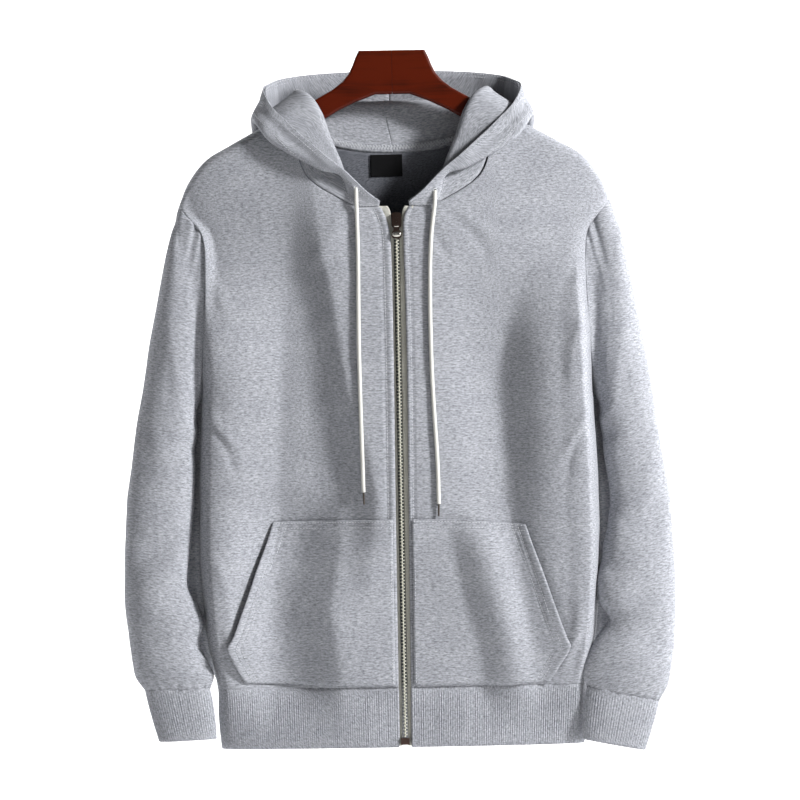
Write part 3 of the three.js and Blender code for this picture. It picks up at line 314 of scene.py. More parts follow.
def linear(hex_colour):
    """An sRGB hex colour as linear red, green, blue."""
    parts = [int(hex_colour[i : i + 2], 16) / 255 for i in (1, 3, 5)]
    return tuple(
        part / 12.92 if part <= 0.04045 else ((part + 0.055) / 1.055) ** 2.4 for part in parts
    )


def sizes():
    return bpy.context.scene.hoodie_sizes


def colours():
    return bpy.context.scene.hoodie_colours


def rgba(colour):
    return (*colour, 1.0)


# Curves and surfaces, in millimetres


def lookup(rows, by, key, at):
    """The value of a column where another is at a given place, smooth between the rows."""
    t, v = rows[by], rows[key]
    at = np.clip(np.asarray(at, float), t[0], t[-1])
    i = np.clip(np.searchsorted(t, at, side="right") - 1, 0, len(t) - 2)
    before, after = np.maximum(i - 1, 0), np.minimum(i + 2, len(t) - 1)
    span = t[i + 1] - t[i]
    s = (at - t[i]) / span
    slope_in = (v[i + 1] - v[before]) / (t[i + 1] - t[before]) * span
    slope_out = (v[after] - v[i]) / (t[after] - t[i]) * span
    return spline(v[i], v[i + 1], slope_in, slope_out, s)


def spline(a, b, slope_in, slope_out, s):
    """The smooth value at share s of the way between two values with their slopes."""
    s2, s3 = s * s, s * s * s
    rising = 3 * s2 - 2 * s3
    return a * (1 - rising) + slope_in * (s3 - 2 * s2 + s) + b * rising + slope_out * (s3 - s2)


def smooth(t):
    """A rise from 0 to 1 that starts and ends level."""
    return t * t * (3 - 2 * t)


def run_along(points):
    """The distance from the first point at each point of a chain."""
    return np.concatenate([[0], np.cumsum(np.linalg.norm(np.diff(points, axis=0), axis=1))])


def refine(points, pitch):
    """Smooth points along the first axis, each segment cut into steps of about one pitch."""
    points = np.asarray(points, float)
    steps = np.maximum(np.linalg.norm(np.diff(points, axis=0), axis=-1), 1e-6)
    flat = steps.ndim == 1
    if flat:
        steps, points = steps[:, None], points[:, None]
    t = np.concatenate([np.zeros((1, steps.shape[1])), np.cumsum(steps, axis=0)])
    counts = np.maximum(1, np.round(steps.mean(axis=1) / pitch).astype(int))
    out = []
    for i, count in enumerate(counts):
        before, after = max(i - 1, 0), min(i + 2, len(counts))
        span = (t[i + 1] - t[i])[:, None]
        slope_in = (points[i + 1] - points[before]) / (t[i + 1] - t[before])[:, None] * span
        slope_out = (points[after] - points[i]) / (t[after] - t[i])[:, None] * span
        for s in np.arange(count) / count:
            out.append(spline(points[i], points[i + 1], slope_in, slope_out, s))
    out = np.array([*out, points[-1]])
    return out[:, 0] if flat else out


def even(points, pitch):
    """A chain of points as evenly spaced smooth points."""
    fine = refine(points, pitch / 6)
    run = run_along(fine)
    at = np.linspace(0, run[-1], max(3, int(round(run[-1] / pitch)) + 1))
    return np.stack([np.interp(at, run, fine[:, k]) for k in range(fine.shape[1])], 1)


def shares(points):
    """The distance along a chain at each point, as a share of the whole."""
    run = run_along(points)
    return run / run[-1]


def pairs(rows):
    return np.stack([rows["x"], rows["drop"]], 1)


def soft_noise(u, v, pitch, seed):
    """Smooth unevenness from -1 to 1 over two lengths, the same on every run."""
    size = 97
    lattice = np.random.default_rng(seed).uniform(-1, 1, (size, size))
    u, v = np.asarray(u) / pitch, np.asarray(v) / pitch
    i, j = np.floor(u).astype(int), np.floor(v).astype(int)
    s, t = u - i, v - j
    s, t = smooth(s), smooth(t)
    at = lambda a, b: lattice[a % size, b % size]
    low = at(i, j) * (1 - s) + at(i + 1, j) * s
    high = at(i, j + 1) * (1 - s) + at(i + 1, j + 1) * s
    return low * (1 - t) + high * t


def softness(u, v, wide, small, seed):
    """Wide and small unevenness of cloth, each given as height and spacing."""
    return wide[0] * soft_noise(u, v, wide[1], seed) + small[0] * soft_noise(
        u, v, small[1], seed + 1
    )


def shoulder_drop(x):
    slope = (SHOULDER["drop"][1] - SHOULDER["drop"][0]) / (SHOULDER["x"][1] - SHOULDER["x"][0])
    inside = SHOULDER["drop"][0] - (SHOULDER["x"][0] - x) * slope
    return np.where(x < SHOULDER["x"][0], inside, lookup(SHOULDER, "x", "drop", x))


def fold_depth(folds, x, drop):
    """Long soft folds, deepest halfway down."""
    depth = np.zeros(np.broadcast(x, drop).shape)
    for fold in rows_of(folds):
        t = np.clip((drop - fold["start"]) / (fold["end"] - fold["start"]), 0, 1)
        across = (x - fold["x"] - fold["lean"] * t) / fold["width"]
        depth += fold["depth"] * np.sin(pi * t) ** 1.5 * np.exp(-across * across)
    return depth


def wall_depth(walls, x, drop):
    """Folds that fall or rise steeply beside a line and fade away outwards from it."""
    depth = np.zeros(np.broadcast(x, drop).shape)
    for line, near, far, deep in walls:
        start, end = line["drop"][0], line["drop"][-1]
        share = (drop - start) / (end - start)
        fade = smooth(np.clip(np.minimum(share, 1 - share) / WALL_FADE, 0, 1))
        out = x - lookup(line, "drop", "x", drop)
        out = (out + np.sqrt(out * out + WALL_SOFT)) / 2
        rise = out / near
        rise = rise / (1 + rise**4) ** 0.25
        depth += deep * fade * rise * np.exp(-((out / far) ** 4))
    return depth


def crease_height(creases, x, drop):
    """Soft ridges and troughs of uneven length that fade at both ends."""
    height = np.zeros(np.broadcast(x, drop).shape)
    for k, row in enumerate(rows_of(creases)):
        dx, dd = row["x2"] - row["x1"], row["drop2"] - row["drop1"]
        length = np.hypot(dx, dd)
        along = ((x - row["x1"]) * dx + (drop - row["drop1"]) * dd) / length**2
        bow = 0.08 * length * np.sin(pi * np.clip(along, 0, 1)) * (-1) ** k
        off = ((x - row["x1"]) * dd - (drop - row["drop1"]) * dx) / length - bow
        fade = np.exp(-np.clip(np.abs(along - 0.5) - 0.3, 0, None) ** 2 / 0.045)
        height += row["height"] * fade * np.exp(-((off / row["width"]) ** 2))
    return height


def body_y(face, x, drop, piece):
    """The y of the body's outer face, front (-1) or back (+1)."""
    half = lookup(BODY, "drop", "half", drop)
    deep = lookup(BODY, "drop", "front" if face < 0 else "back", drop)
    edge = np.maximum(lookup(BODY, "drop", "armhole", drop), 0)
    across = np.minimum(np.abs(x) / half, 1)
    section = (1 - across**BODY_SQUARENESS) ** (1 / BODY_SQUARENESS)
    below = np.clip((drop - shoulder_drop(np.abs(x))) / SHOULDER_ROUND, 0, 1)
    over = np.sqrt(1 - (1 - below) ** 2)
    # Folds die away at the side seam, the steep ones last
    calm = np.minimum(1, 6 * (1 - across))
    crisp = np.sin(np.minimum(1, 16 * (1 - across)) * pi / 2)
    folds = fold_depth(FOLDS[piece], x, drop) * calm
    folds += wall_depth(WALL_FOLDS[piece], x, drop) * crisp
    return face * over * (edge + (deep - edge) * section - folds)


def front_y(side, x, drop):
    return body_y(-1, x, drop, "front_" + side)


def back_y(x, drop):
    return body_y(1, x, drop, "back")


def patch(top, bottom, left, right):
    """Points inside four edges, whose sides bow only the points near them."""
    s = shares(top)[None, :, None]
    r = shares(left)[:, None, None]
    left_bow = left[:, None] - (1 - r) * top[0] - r * bottom[0]
    right_bow = right[:, None] - (1 - r) * top[-1] - r * bottom[-1]
    grid = (1 - r) * top[None] + r * bottom[None]
    return grid + (1 - s) ** EDGE_HOLD * left_bow + s**EDGE_HOLD * right_bow


def side_edge(pitch):
    """The armhole and the side seam, and the rows' own heights beside them."""
    hole = even(pairs(ARMHOLE), pitch)
    share = shares(hole)
    drops = NECK_DROP + share * (UNDERARM_DROP - NECK_DROP)
    below = np.linspace(
        UNDERARM_DROP, HEM_SEAM, int((HEM_SEAM - UNDERARM_DROP) / pitch) + 1
    )[1:]
    side = np.stack([lookup(BODY, "drop", "half", below), below], 1)
    return np.concatenate([hole, side]), np.concatenate([drops, below]), len(hole)


def hem_points(start, count, drop):
    half = float(lookup(BODY, "drop", "half", drop))
    share = 1 - (1 - np.arange(count) / (count - 1)) ** 1.5
    return np.stack([start + (half - start) * share, np.full(count, drop)], 1)


def front_grid(side, pitch):
    top = np.concatenate([even(pairs(NECK_FRONT), pitch), even(pairs(SHOULDER), pitch)[1:]])
    outer, drops, _ = side_edge(pitch)
    edge = np.stack([lookup(FRONT_EDGE[side], "drop", "x", drops), drops], 1)
    edge[0] = top[0]
    bottom = hem_points(edge[-1, 0], len(top), HEM_SEAM)
    return patch(top, bottom, edge, outer)


def back_half(pitch):
    neck = even(pairs(NECK_BACK)[::-1], pitch)
    neck = np.concatenate([neck, [[SHOULDER["x"][0], SHOULDER["drop"][0]]]])
    top = np.concatenate([neck, even(pairs(SHOULDER), pitch)[1:]])
    outer, drops, _ = side_edge(pitch)
    share = (drops - NECK_DROP) / (HEM_SEAM - NECK_DROP)
    middle_top = top[0, 1]
    middle = np.stack([np.zeros(len(drops)), middle_top + share * (HEM_SEAM - middle_top)], 1)
    return patch(top, hem_points(0, len(top), HEM_SEAM), middle, outer)


def back_spread(x, drop):
    across = np.minimum(np.abs(x) / lookup(BODY, "drop", "half", drop), 1)
    t = np.maximum(across - BACK_BELLY_START, 0) / (1 - BACK_BELLY_START)
    return np.sign(x) * lookup(BACK_BELLY, "drop", "spread", drop) * np.sin(pi * t**3.1)


def xyz(x, y, drop):
    return np.stack(np.broadcast_arrays(x, y, -np.asarray(drop)), -1)


def mirrored(points):
    """The same grid on the wearer's right, its columns turned round to face the same way."""
    return points[:, ::-1] * MIRROR


def on_side(side, grid, *fields):
    """A grid and the fields on it, as built for the left or mirrored for the right."""
    if side == "left":
        return grid, *fields
    return mirrored(grid), *(field[:, ::-1] for field in fields)


def lines_on_side(side, lines):
    """Lines of points and normals, as built for the left or mirrored for the right."""
    return [tuple(part * (MIRROR if side == "right" else 1) for part in line) for line in lines]


def ends_calm(grid, above, below):
    """1 over a panel, falling to 0 within a distance of its first and last rows."""
    down, _ = runs(grid)
    return np.clip(down / above, 0, 1) * np.clip((down[-1] - down) / below, 0, 1)


def normals_of(grid, wrap=False):
    if wrap:
        around = np.concatenate([grid[:, -1:], grid, grid[:, :1]], 1)
        along = np.gradient(around, axis=1)[:, 1:-1]
    else:
        along = np.gradient(grid, axis=1)
    down = np.gradient(grid, axis=0)
    out = np.cross(down, along)
    return out / np.maximum(np.linalg.norm(out, axis=-1, keepdims=True), 1e-9)


def runs(grid):
    """Distances in from the first row and from the first column at each point."""
    down = np.zeros(grid.shape[:2])
    across = np.zeros(grid.shape[:2])
    down[1:] = np.cumsum(np.linalg.norm(np.diff(grid, axis=0), axis=-1), axis=0)
    across[:, 1:] = np.cumsum(np.linalg.norm(np.diff(grid, axis=1), axis=-1), axis=1)
    return down, across


def level_uv(grid):
    """Cloth metres whose rows of loops lie level, as the panel was cut."""
    _, across = runs(grid)
    return np.stack([grid[:, :1, 0] + across, grid[..., 2]], -1)


def groove(distance, middle, width=1.1, depth=0.7):
    return -depth * np.exp(-(((distance - middle) / width) ** 2))


# Meshes


def finish_mesh(name, points, faces, uvs, materials, slots=None, body="hoodie"):
    """One object of the hoodie from points in millimetres, riding on its body."""
    mesh = bpy.data.meshes.new(name)
    mesh.from_pydata((np.asarray(points) / 1000).tolist(), [], faces)
    if uvs is not None:
        layer = mesh.uv_layers.new(name="cloth")
        layer.data.foreach_set("uv", (np.asarray(uvs) / 1000).ravel())
    for material in materials:
        mesh.materials.append(material)
    if slots is not None:
        mesh.polygons.foreach_set("material_index", slots)
    mesh.shade_smooth()
    mesh.update()
    obj = bpy.data.objects.new(name, mesh)
    bpy.context.scene.collection.objects.link(obj)
    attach(obj, body)
    return obj


def shell(name, grid, thick, materials, relief=0.0, detail=0.0, wrap=False, uv=None, back=0.0):
    """Cloth as a closed wall: grid is its outer face, relief moves both faces, detail raises only
    the outer one, and every free edge is rounded by a line of points at half its thickness."""
    n, m = grid.shape[:2]
    out = normals_of(grid, wrap)
    grid = grid + out * (relief - back + np.zeros((n, m)))[..., None]
    outer = grid + out * (detail + np.zeros((n, m)))[..., None]
    inner = grid - out * thick
    if uv is None:
        down, across = runs(grid)
        uv = np.stack([across, -down], -1)
    columns = m if wrap else m - 1
    i, j = np.meshgrid(np.arange(n - 1), np.arange(columns), indexing="ij")
    i, j = i.ravel(), j.ravel()
    k = (j + 1) % m
    a, b, c, d = i * m + j, i * m + k, (i + 1) * m + k, (i + 1) * m + j
    size = n * m
    faces = [np.stack([a, d, c, b], 1), np.stack([a, b, c, d], 1) + size]
    uv_next = uv[:, 1:]
    if wrap:
        closing = uv[:, -1:] + (uv[:, -1:] - uv[:, -2:-1])
        uv_next = np.concatenate([uv_next, closing], 1)
    uv_a, uv_b = uv[i, j], uv_next[i, j]
    uv_c, uv_d = uv_next[i + 1, j], uv[i + 1, j]
    face_uvs = [np.stack([uv_a, uv_d, uv_c, uv_b], 1), np.stack([uv_a, uv_b, uv_c, uv_d], 1)]
    top = [(0, q) for q in range(m)]
    bottom = [(n - 1, q) for q in range(m - 1, -1, -1)]
    if wrap:
        loops = [top, bottom]
    else:
        right = [(q, m - 1) for q in range(1, n - 1)]
        left = [(q, 0) for q in range(n - 2, 0, -1)]
        loops = [top + right + bottom + left]
    middles, start = [], 2 * size
    for loop in loops:
        rows = np.array(loop)
        at = rows[:, 0] * m + rows[:, 1]
        inward = np.clip(rows, 1, [n - 2, m - 2])
        if wrap:
            inward[:, 1] = rows[:, 1]
        edge = grid[rows[:, 0], rows[:, 1]]
        away = edge - grid[inward[:, 0], inward[:, 1]]
        away /= np.maximum(np.linalg.norm(away, axis=1, keepdims=True), 1e-9)
        half = (outer.reshape(-1, 3)[at] + inner.reshape(-1, 3)[at]) / 2
        middles.append(half + away * thick * 0.35)
        mid = start + np.arange(len(rows))
        start += len(rows)
        nxt, mid_next = np.roll(at, -1), np.roll(mid, -1)
        faces.append(np.stack([at, nxt, mid_next, mid], 1))
        faces.append(np.stack([mid, mid_next, nxt + size, at + size], 1))
        rim_uv = uv[rows[:, 0], rows[:, 1]]
        rim_next = np.roll(rim_uv, -1, axis=0)
        for _ in range(2):
            face_uvs.append(np.stack([rim_uv, rim_next, rim_next, rim_uv], 1))
    counts = [len(part) for part in faces]
    slots = np.zeros(sum(counts), int)
    if len(materials) > 1:
        slots[counts[0] : counts[0] + counts[1]] = 1
    points = np.concatenate([outer.reshape(-1, 3), inner.reshape(-1, 3), *middles])
    return finish_mesh(
        name, points, np.concatenate(faces).tolist(), np.concatenate(face_uvs).reshape(-1, 2),
        materials, slots
    )


def inset_line(grid, edge, distance, wrap=False, lift=0.0):
    """Points a given distance in from one edge of a grid, and the normals there."""
    out = normals_of(grid, wrap)
    if edge in ("first_column", "last_column"):
        grid, out = np.swapaxes(grid, 0, 1), np.swapaxes(out, 0, 1)
    if edge in ("last_row", "last_column"):
        grid, out = grid[::-1], out[::-1]
    down, _ = runs(grid)
    columns = range(grid.shape[1])
    at = [
        np.array([
            [np.interp(distance, down[:, j], values[:, j, k]) for k in range(3)] for j in columns
        ])
        for values in (grid, out)
    ]
    points, normals = at
    return points + normals * lift, normals


# A stitch: the places of its points along its length, and its faces
STITCH_LONG = (0.0, 0.3, 0.7, 1.0)
STITCH_FACES = (
    (0, 2, 1), (0, 3, 2), (1, 2, 5, 4), (2, 3, 6, 5), (4, 5, 7), (5, 6, 7), (0, 1, 3),
    (1, 4, 6, 3), (4, 7, 6)
)


def stitch_points(points, normals, length, gap, width):
    """Single stitches along a line as small rounded bars, their ends sunk into the cloth."""
    run = run_along(points)
    starts = np.arange(gap / 2, run[-1] - length, length + gap)
    verts, faces = [], []
    for start in starts:
        at = [start + share * length for share in STITCH_LONG]
        line = np.stack([np.interp(at, run, points[:, k]) for k in range(3)], 1)
        up = np.array([np.interp(start + length / 2, run, normals[:, k]) for k in range(3)])
        up /= np.linalg.norm(up)
        along = line[-1] - line[0]
        along /= max(np.linalg.norm(along), 1e-9)
        side = np.cross(up, along)
        first = len(verts)
        verts.append(line[0] - up * width * 0.5)
        for q in (1, 2):
            for across, high in ((-1, 0), (0, 1), (1, 0)):
                verts.append(
                    line[q] + side * across * width / 2 + up * (high * width * 0.55 - 0.1)
                )
        verts.append(line[3] - up * width * 0.5)
        faces += [tuple(first + k for k in face) for face in STITCH_FACES]
    return verts, faces


def sew(name, lines, material, length=None, gap=None, width=None, body="hoodie"):
    """All stitches of one piece as one object; lines is a list of (points, normals)."""
    length = length or sizes().stitch_length * 1000
    gap = gap or sizes().stitch_gap * 1000
    width = width or sizes().thread_width * 1000
    verts, faces = [], []
    for points, normals in lines:
        new_verts, new_faces = stitch_points(points, normals, length, gap, width)
        start = len(verts)
        verts += new_verts
        faces += [tuple(start + k for k in face) for face in new_faces]
    return finish_mesh(name, verts, faces, None, [material], None, body)


# Materials


def new_material(name):
    material = bpy.data.materials.get(name)
    if material:
        return material, None
    material = bpy.data.materials.new(name)
    material.use_nodes = True
    material.node_tree.nodes.clear()
    return material, material.node_tree


def node(tree, kind, settings=None, stops=(), **inputs):
    """One node with its settings and links. An input, by its name or its number after a low
    line, is a value or another node's socket; stops are a ramp's places and colours."""
    made = tree.nodes.new(kind)
    for key, value in (settings or {}).items():
        setattr(made, key, value)
    for k, (place, colour) in enumerate(stops):
        elements = made.color_ramp.elements
        stop = elements[k] if k < 2 else elements.new(place)
        stop.position, stop.color = place, rgba(colour)
    for key, value in inputs.items():
        socket = made.inputs[int(key[1:]) if key[0] == "_" else key.replace("_", " ")]
        if isinstance(value, bpy.types.NodeSocket):
            tree.links.new(value, socket)
        else:
            socket.default_value = value
    return made


def darker(colour, share):
    return tuple(part * share for part in colour)


def cloth_uv(tree, scale):
    """The cloth's own metres, stretched by a scale along and across its rows of loops."""
    uv = node(tree, "ShaderNodeUVMap", {"uv_map": "cloth"})
    return node(tree, "ShaderNodeMapping", Vector=uv.outputs[0], Scale=(*scale, 1.0)).outputs[0]


def heather(name, light, dark, streak=(0.0065, 0.0017), depth=0.35, contrast=1.0, fuzz=0.0004):
    """Loopback cotton fleece of mixed grey fibres, knitted and brushed.

    The eye sees short darker and lighter streaks along the rows of loops, a few millimetres long
    and about a row high, over a soft even grey, with no gloss at all."""
    material, tree = new_material(name)
    if tree is None:
        return material
    # Streaks along the rows, 1.5 mm flecks of the shortest fibres, 40 mm patches where the yarn
    # is a little lighter or darker, and the fuzz of the loops: size across and down in metres
    noises = {
        name: node(
            tree, "ShaderNodeTexNoise", Vector=cloth_uv(tree, (1 / across, 1 / high)), Scale=1.0,
            Detail=detail, Roughness=rough
        ).outputs[0]
        for name, (across, high), detail, rough in (
            ("streaks", streak, 2.0, 0.6), ("flecks", (0.0028, 0.0013), 1.0, 0.5),
            ("patches", (0.05, 0.02), 2.0, 0.5), ("loops", (0.0012, 0.0009), 4.0, 0.7)
        )
    }
    both = node(tree, "ShaderNodeMix", _0=0.38, _2=noises["streaks"], _3=noises["flecks"])
    middle = tuple((a + b) / 2 for a, b in zip(light, dark))
    reach = 0.19 / contrast
    stops = [(0.5 - reach, dark), (0.5, middle), (0.5 + reach, light)]
    mixed = node(tree, "ShaderNodeValToRGB", stops=stops, _0=both.outputs[0])
    stops = [(0.3, (0.88, 0.88, 0.89)), (0.7, (1.0, 1.0, 1.0))]
    shade = node(tree, "ShaderNodeValToRGB", stops=stops, _0=noises["patches"])
    coloured = node(
        tree, "ShaderNodeMix", {"data_type": "RGBA", "blend_type": "MULTIPLY"}, _0=1.0,
        _6=mixed.outputs[0], _7=shade.outputs[0]
    )
    bump = node(tree, "ShaderNodeBump", Height=noises["loops"], Strength=depth, Distance=fuzz)
    shader = node(
        tree, "ShaderNodeBsdfPrincipled", Base_Color=coloured.outputs[2], Roughness=0.95,
        Normal=bump.outputs[0], IOR=1.46, Specular_IOR_Level=0.2, Sheen_Weight=0.04,
        Sheen_Roughness=0.6
    )
    node(tree, "ShaderNodeOutputMaterial", Surface=shader.outputs[0])
    return material


def fleece():
    return heather("grey heather fleece", colours().fleece_light, colours().fleece_dark)


def fleece_inside():
    """The brushed side of the fleece: blurred flecks, a little darker than the face."""
    return heather(
        "brushed fleece inside", colours().inside_light, colours().inside_dark,
        streak=(0.0022, 0.0018), depth=0.5, contrast=0.9, fuzz=0.0007
    )


def rib_knit():
    """Cotton and elastane rib: the same heather yarn, its streaks run along the ribs."""
    return heather(
        "grey heather rib knit", colours().fleece_light, colours().fleece_dark,
        streak=(0.0016, 0.004), depth=0.3
    )


def plain(name, colour, roughness, metallic=0.0, bump_scale=900.0, sheen=0.0, specular=0.5):
    """A finish of one colour with fine unevenness in its roughness and surface."""
    material, tree = new_material(name)
    if tree is None:
        return material
    coords = node(tree, "ShaderNodeTexCoord")
    noise = node(
        tree, "ShaderNodeTexNoise", Vector=coords.outputs["Object"], Scale=bump_scale, Detail=3.0
    )
    stops = [(0.3, darker(colour, 0.86)), (0.7, colour)]
    tone = node(tree, "ShaderNodeValToRGB", stops=stops, _0=noise.outputs[0])
    rough = node(
        tree, "ShaderNodeMapRange", Value=noise.outputs[0], To_Min=roughness * 0.88,
        To_Max=min(1.0, roughness * 1.12)
    )
    bump = node(tree, "ShaderNodeBump", Height=noise.outputs[0], Strength=0.5, Distance=0.0001)
    shader = node(
        tree, "ShaderNodeBsdfPrincipled", Base_Color=tone.outputs[0], Metallic=metallic,
        Roughness=rough.outputs[0], Normal=bump.outputs[0], Specular_IOR_Level=specular,
        Sheen_Weight=sheen
    )
    node(tree, "ShaderNodeOutputMaterial", Surface=shader.outputs[0])
    return material


def thread():
    """Spun polyester thread, a shade lighter than the cloth."""
    return plain(
        "polyester sewing thread", colours().thread, 0.75, bump_scale=2500.0, sheen=0.2
    )


def cord_cotton():
    """Braided cotton cord, off-white: strands crossing 1.1 mm apart, painted shade between them.
    """
    material, tree = new_material("braided cotton cord")
    if tree is None:
        return material
    coords = node(tree, "ShaderNodeTexCoord")
    pair = []
    for turn in (-0.95, 0.95):
        turned = node(
            tree, "ShaderNodeMapping", Vector=coords.outputs["Object"],
            Rotation=(0.0, turn, 0.0)
        )
        pair.append(node(
            tree, "ShaderNodeTexWave", {"bands_direction": "Z"}, Vector=turned.outputs[0],
            Scale=1 / (0.0016 * 3.14)
        ))
    braid = node(
        tree, "ShaderNodeMath", {"operation": "MAXIMUM"}, _0=pair[0].outputs[1],
        _1=pair[1].outputs[1]
    )
    # Painted shade: darker where the strands dip between each other
    stops = [(0.1, darker(colours().cord, 0.66)), (0.75, colours().cord)]
    tone = node(tree, "ShaderNodeValToRGB", stops=stops, _0=braid.outputs[0])
    bump = node(tree, "ShaderNodeBump", Height=braid.outputs[0], Strength=0.7, Distance=0.0003)
    shader = node(
        tree, "ShaderNodeBsdfPrincipled", Base_Color=tone.outputs[0], Roughness=0.85,
        Normal=bump.outputs[0], Sheen_Weight=0.25
    )
    node(tree, "ShaderNodeOutputMaterial", Surface=shader.outputs[0])
    return material


def zip_resin():
    """Injection-moulded acetal teeth: pale stone colour with a soft satin gloss."""
    return plain("acetal zip teeth", colours().teeth, 0.38, bump_scale=500.0)


def zip_tape_cloth():
    """Woven polyester tape, its ribs 0.8 mm apart along the length, painted shade between them."""
    material, tree = new_material("woven polyester zip tape")
    if tree is None:
        return material
    coords = node(tree, "ShaderNodeTexCoord")
    rows = node(
        tree, "ShaderNodeTexWave", {"bands_direction": "Z"}, Vector=coords.outputs["Object"],
        Scale=1 / (0.0008 * 6.28), Distortion=0.6
    )
    # Painted shade: darker between the ribs
    stops = [(0.0, darker(colours().tape, 0.78)), (0.6, colours().tape)]
    tone = node(tree, "ShaderNodeValToRGB", stops=stops, _0=rows.outputs[1])
    bump = node(tree, "ShaderNodeBump", Height=rows.outputs[1], Strength=0.4, Distance=0.0002)
    shader = node(
        tree, "ShaderNodeBsdfPrincipled", Base_Color=tone.outputs[0], Roughness=0.82,
        Normal=bump.outputs[0]
    )
    node(tree, "ShaderNodeOutputMaterial", Surface=shader.outputs[0])
    return material


def brown_plate():
    """Zinc plated dark brown, barrelled to a dull shine with fine scuffs."""
    return plain("dark brown plate", colours().metal, 0.34, 1.0, bump_scale=700.0)


def bright_nickel():
    """Pale nickel plate on the pull's bar and oval plate, lighter than the slider."""
    return plain("bright nickel", colours().bright_metal, 0.25, 1.0, bump_scale=700.0)


def crimped_steel():
    """Dark gunmetal crimp on the cord's end."""
    return plain("gunmetal crimp", colours().tip, 0.4, 1.0, bump_scale=900.0)


def label_satin():
    """Black woven satin, its fine ribs 0.5 mm apart."""
    return plain("black satin label", colours().label, 0.7, bump_scale=1800.0, specular=0.1)


def lacquered_wood():
    """Stained hardwood under clear lacquer.

    The eye sees a deep red-brown with soft darker grain along each half, and a clear glossy coat
    that catches the light along the rounded edges."""
    material, tree = new_material("stained lacquered wood")
    if tree is None:
        return material
    coords = node(tree, "ShaderNodeTexCoord")
    # The grain runs along each arm, so its lines turn with the side of the middle joint
    split = node(tree, "ShaderNodeSeparateXYZ", Vector=coords.outputs["Object"])
    mirrored_x = node(tree, "ShaderNodeMath", {"operation": "ABSOLUTE"}, _0=split.outputs[0])
    joined = node(
        tree, "ShaderNodeCombineXYZ", X=mirrored_x.outputs[0], Y=split.outputs[1],
        Z=split.outputs[2]
    )
    turned = node(
        tree, "ShaderNodeMapping", Vector=joined.outputs[0], Rotation=(0.0, radians(-28), 0.0),
        Scale=(7.0, 160.0, 160.0)
    )
    grain = node(
        tree, "ShaderNodeTexNoise", Vector=turned.outputs[0], Scale=1.0, Detail=5.0,
        Roughness=0.65, Distortion=0.6
    )
    cloud = node(
        tree, "ShaderNodeTexNoise", Vector=coords.outputs["Object"], Scale=26.0, Detail=2.0
    )
    both = node(
        tree, "ShaderNodeMath", {"operation": "MULTIPLY_ADD"}, _0=cloud.outputs[0], _1=0.35,
        _2=grain.outputs[0]
    )
    stops = [(0.42, colours().wood_dark), (0.68, colours().wood), (0.9, colours().wood)]
    tone = node(tree, "ShaderNodeValToRGB", stops=stops, _0=both.outputs[0])
    bump = node(tree, "ShaderNodeBump", Height=grain.outputs[0], Strength=0.08, Distance=0.0003)
    shader = node(
        tree, "ShaderNodeBsdfPrincipled", Base_Color=tone.outputs[0], Roughness=0.42,
        Normal=bump.outputs[0], Specular_IOR_Level=0.06, Coat_Weight=0.1, Coat_Roughness=0.25
    )
    node(tree, "ShaderNodeOutputMaterial", Surface=shader.outputs[0])
    return material


def dark_shade_and_glue():
    """Near-black: painted shade in small holes and recesses, and the hanger's dark glue line."""
    return plain("dark shade and glue", linear("#1C1C1E"), 0.95)


def paper_backdrop():
    """Matte white studio paper, clear from behind so that the back can be looked at."""
    material, tree = new_material("white backdrop paper")
    if tree is None:
        return material
    side = node(tree, "ShaderNodeNewGeometry")
    paper = node(
        tree, "ShaderNodeBsdfPrincipled", Base_Color=rgba(linear("#F4F4F4")), Roughness=0.9
    )
    clear = node(tree, "ShaderNodeBsdfTransparent")
    mix = node(
        tree, "ShaderNodeMixShader", _0=side.outputs["Backfacing"], _1=paper.outputs[0],
        _2=clear.outputs[0]
    )
    node(tree, "ShaderNodeOutputMaterial", Surface=mix.outputs[0])
    return material


# Cloth pieces


def fleece_piece(node_name, cut, rests_on, grid, relief, detail=0.0, **kind):
    """A piece of fleece on the form of its solid, in its place; its cut is not used."""
    obj = shell(
        node_name + "_cloth", grid, sizes().cloth * 1000, [fleece(), fleece_inside()], relief,
        detail, **kind
    )
    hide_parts(node_name)


def panel_relief(creases, x, drop, seed):
    """Listed creases and the unevenness of the cloth."""
    height = crease_height(creases, x, drop)
    return height + softness(x + 500, drop, (0.7, 46), (0.22, 17), seed)


def edge_pucker(distance, along, reach, seed, depth=0.5):
    """Small puckers square to a seam that fade away from it."""
    return (
        depth * soft_noise(along + 300, np.zeros_like(along), 6.5, seed)
        * np.exp(-distance / reach)
    )


# Settings that a user would change


def length_property(name, description, metres):
    return bpy.props.FloatProperty(
        name=name, description=description, default=metres, unit="LENGTH"
    )


class HoodieSizes(bpy.types.PropertyGroup):
    cloth: length_property("Fleece thickness", "Thickness of the fleece", 0.002)
    rib: length_property("Rib knit thickness", "Thickness of the cuffs' and hem's rib", 0.0026)
    hood_layer: length_property("Hood layer thickness", "Each of the hood's layers", 0.0012)
    rib_pitch: length_property("Rib spacing", "Distance from one rib to the next", 0.0025)
    stitch_length: length_property("Stitch length", "Length of one stitch", 0.0027)
    stitch_gap: length_property("Stitch gap", "Gap between two stitches", 0.0007)
    thread_width: length_property("Thread width", "Width of the sewing thread", 0.0006)
    cord_diameter: length_property("Drawcord diameter", "Diameter of the drawcords", 0.0044)
    tooth_pitch: length_property("Tooth spacing", "Two teeth on the same tape", 0.0037)


def colour_property(name, description, hex_colour):
    return bpy.props.FloatVectorProperty(
        name=name, description=description, default=linear(hex_colour), subtype="COLOR", size=3,
        min=0, max=1
    )


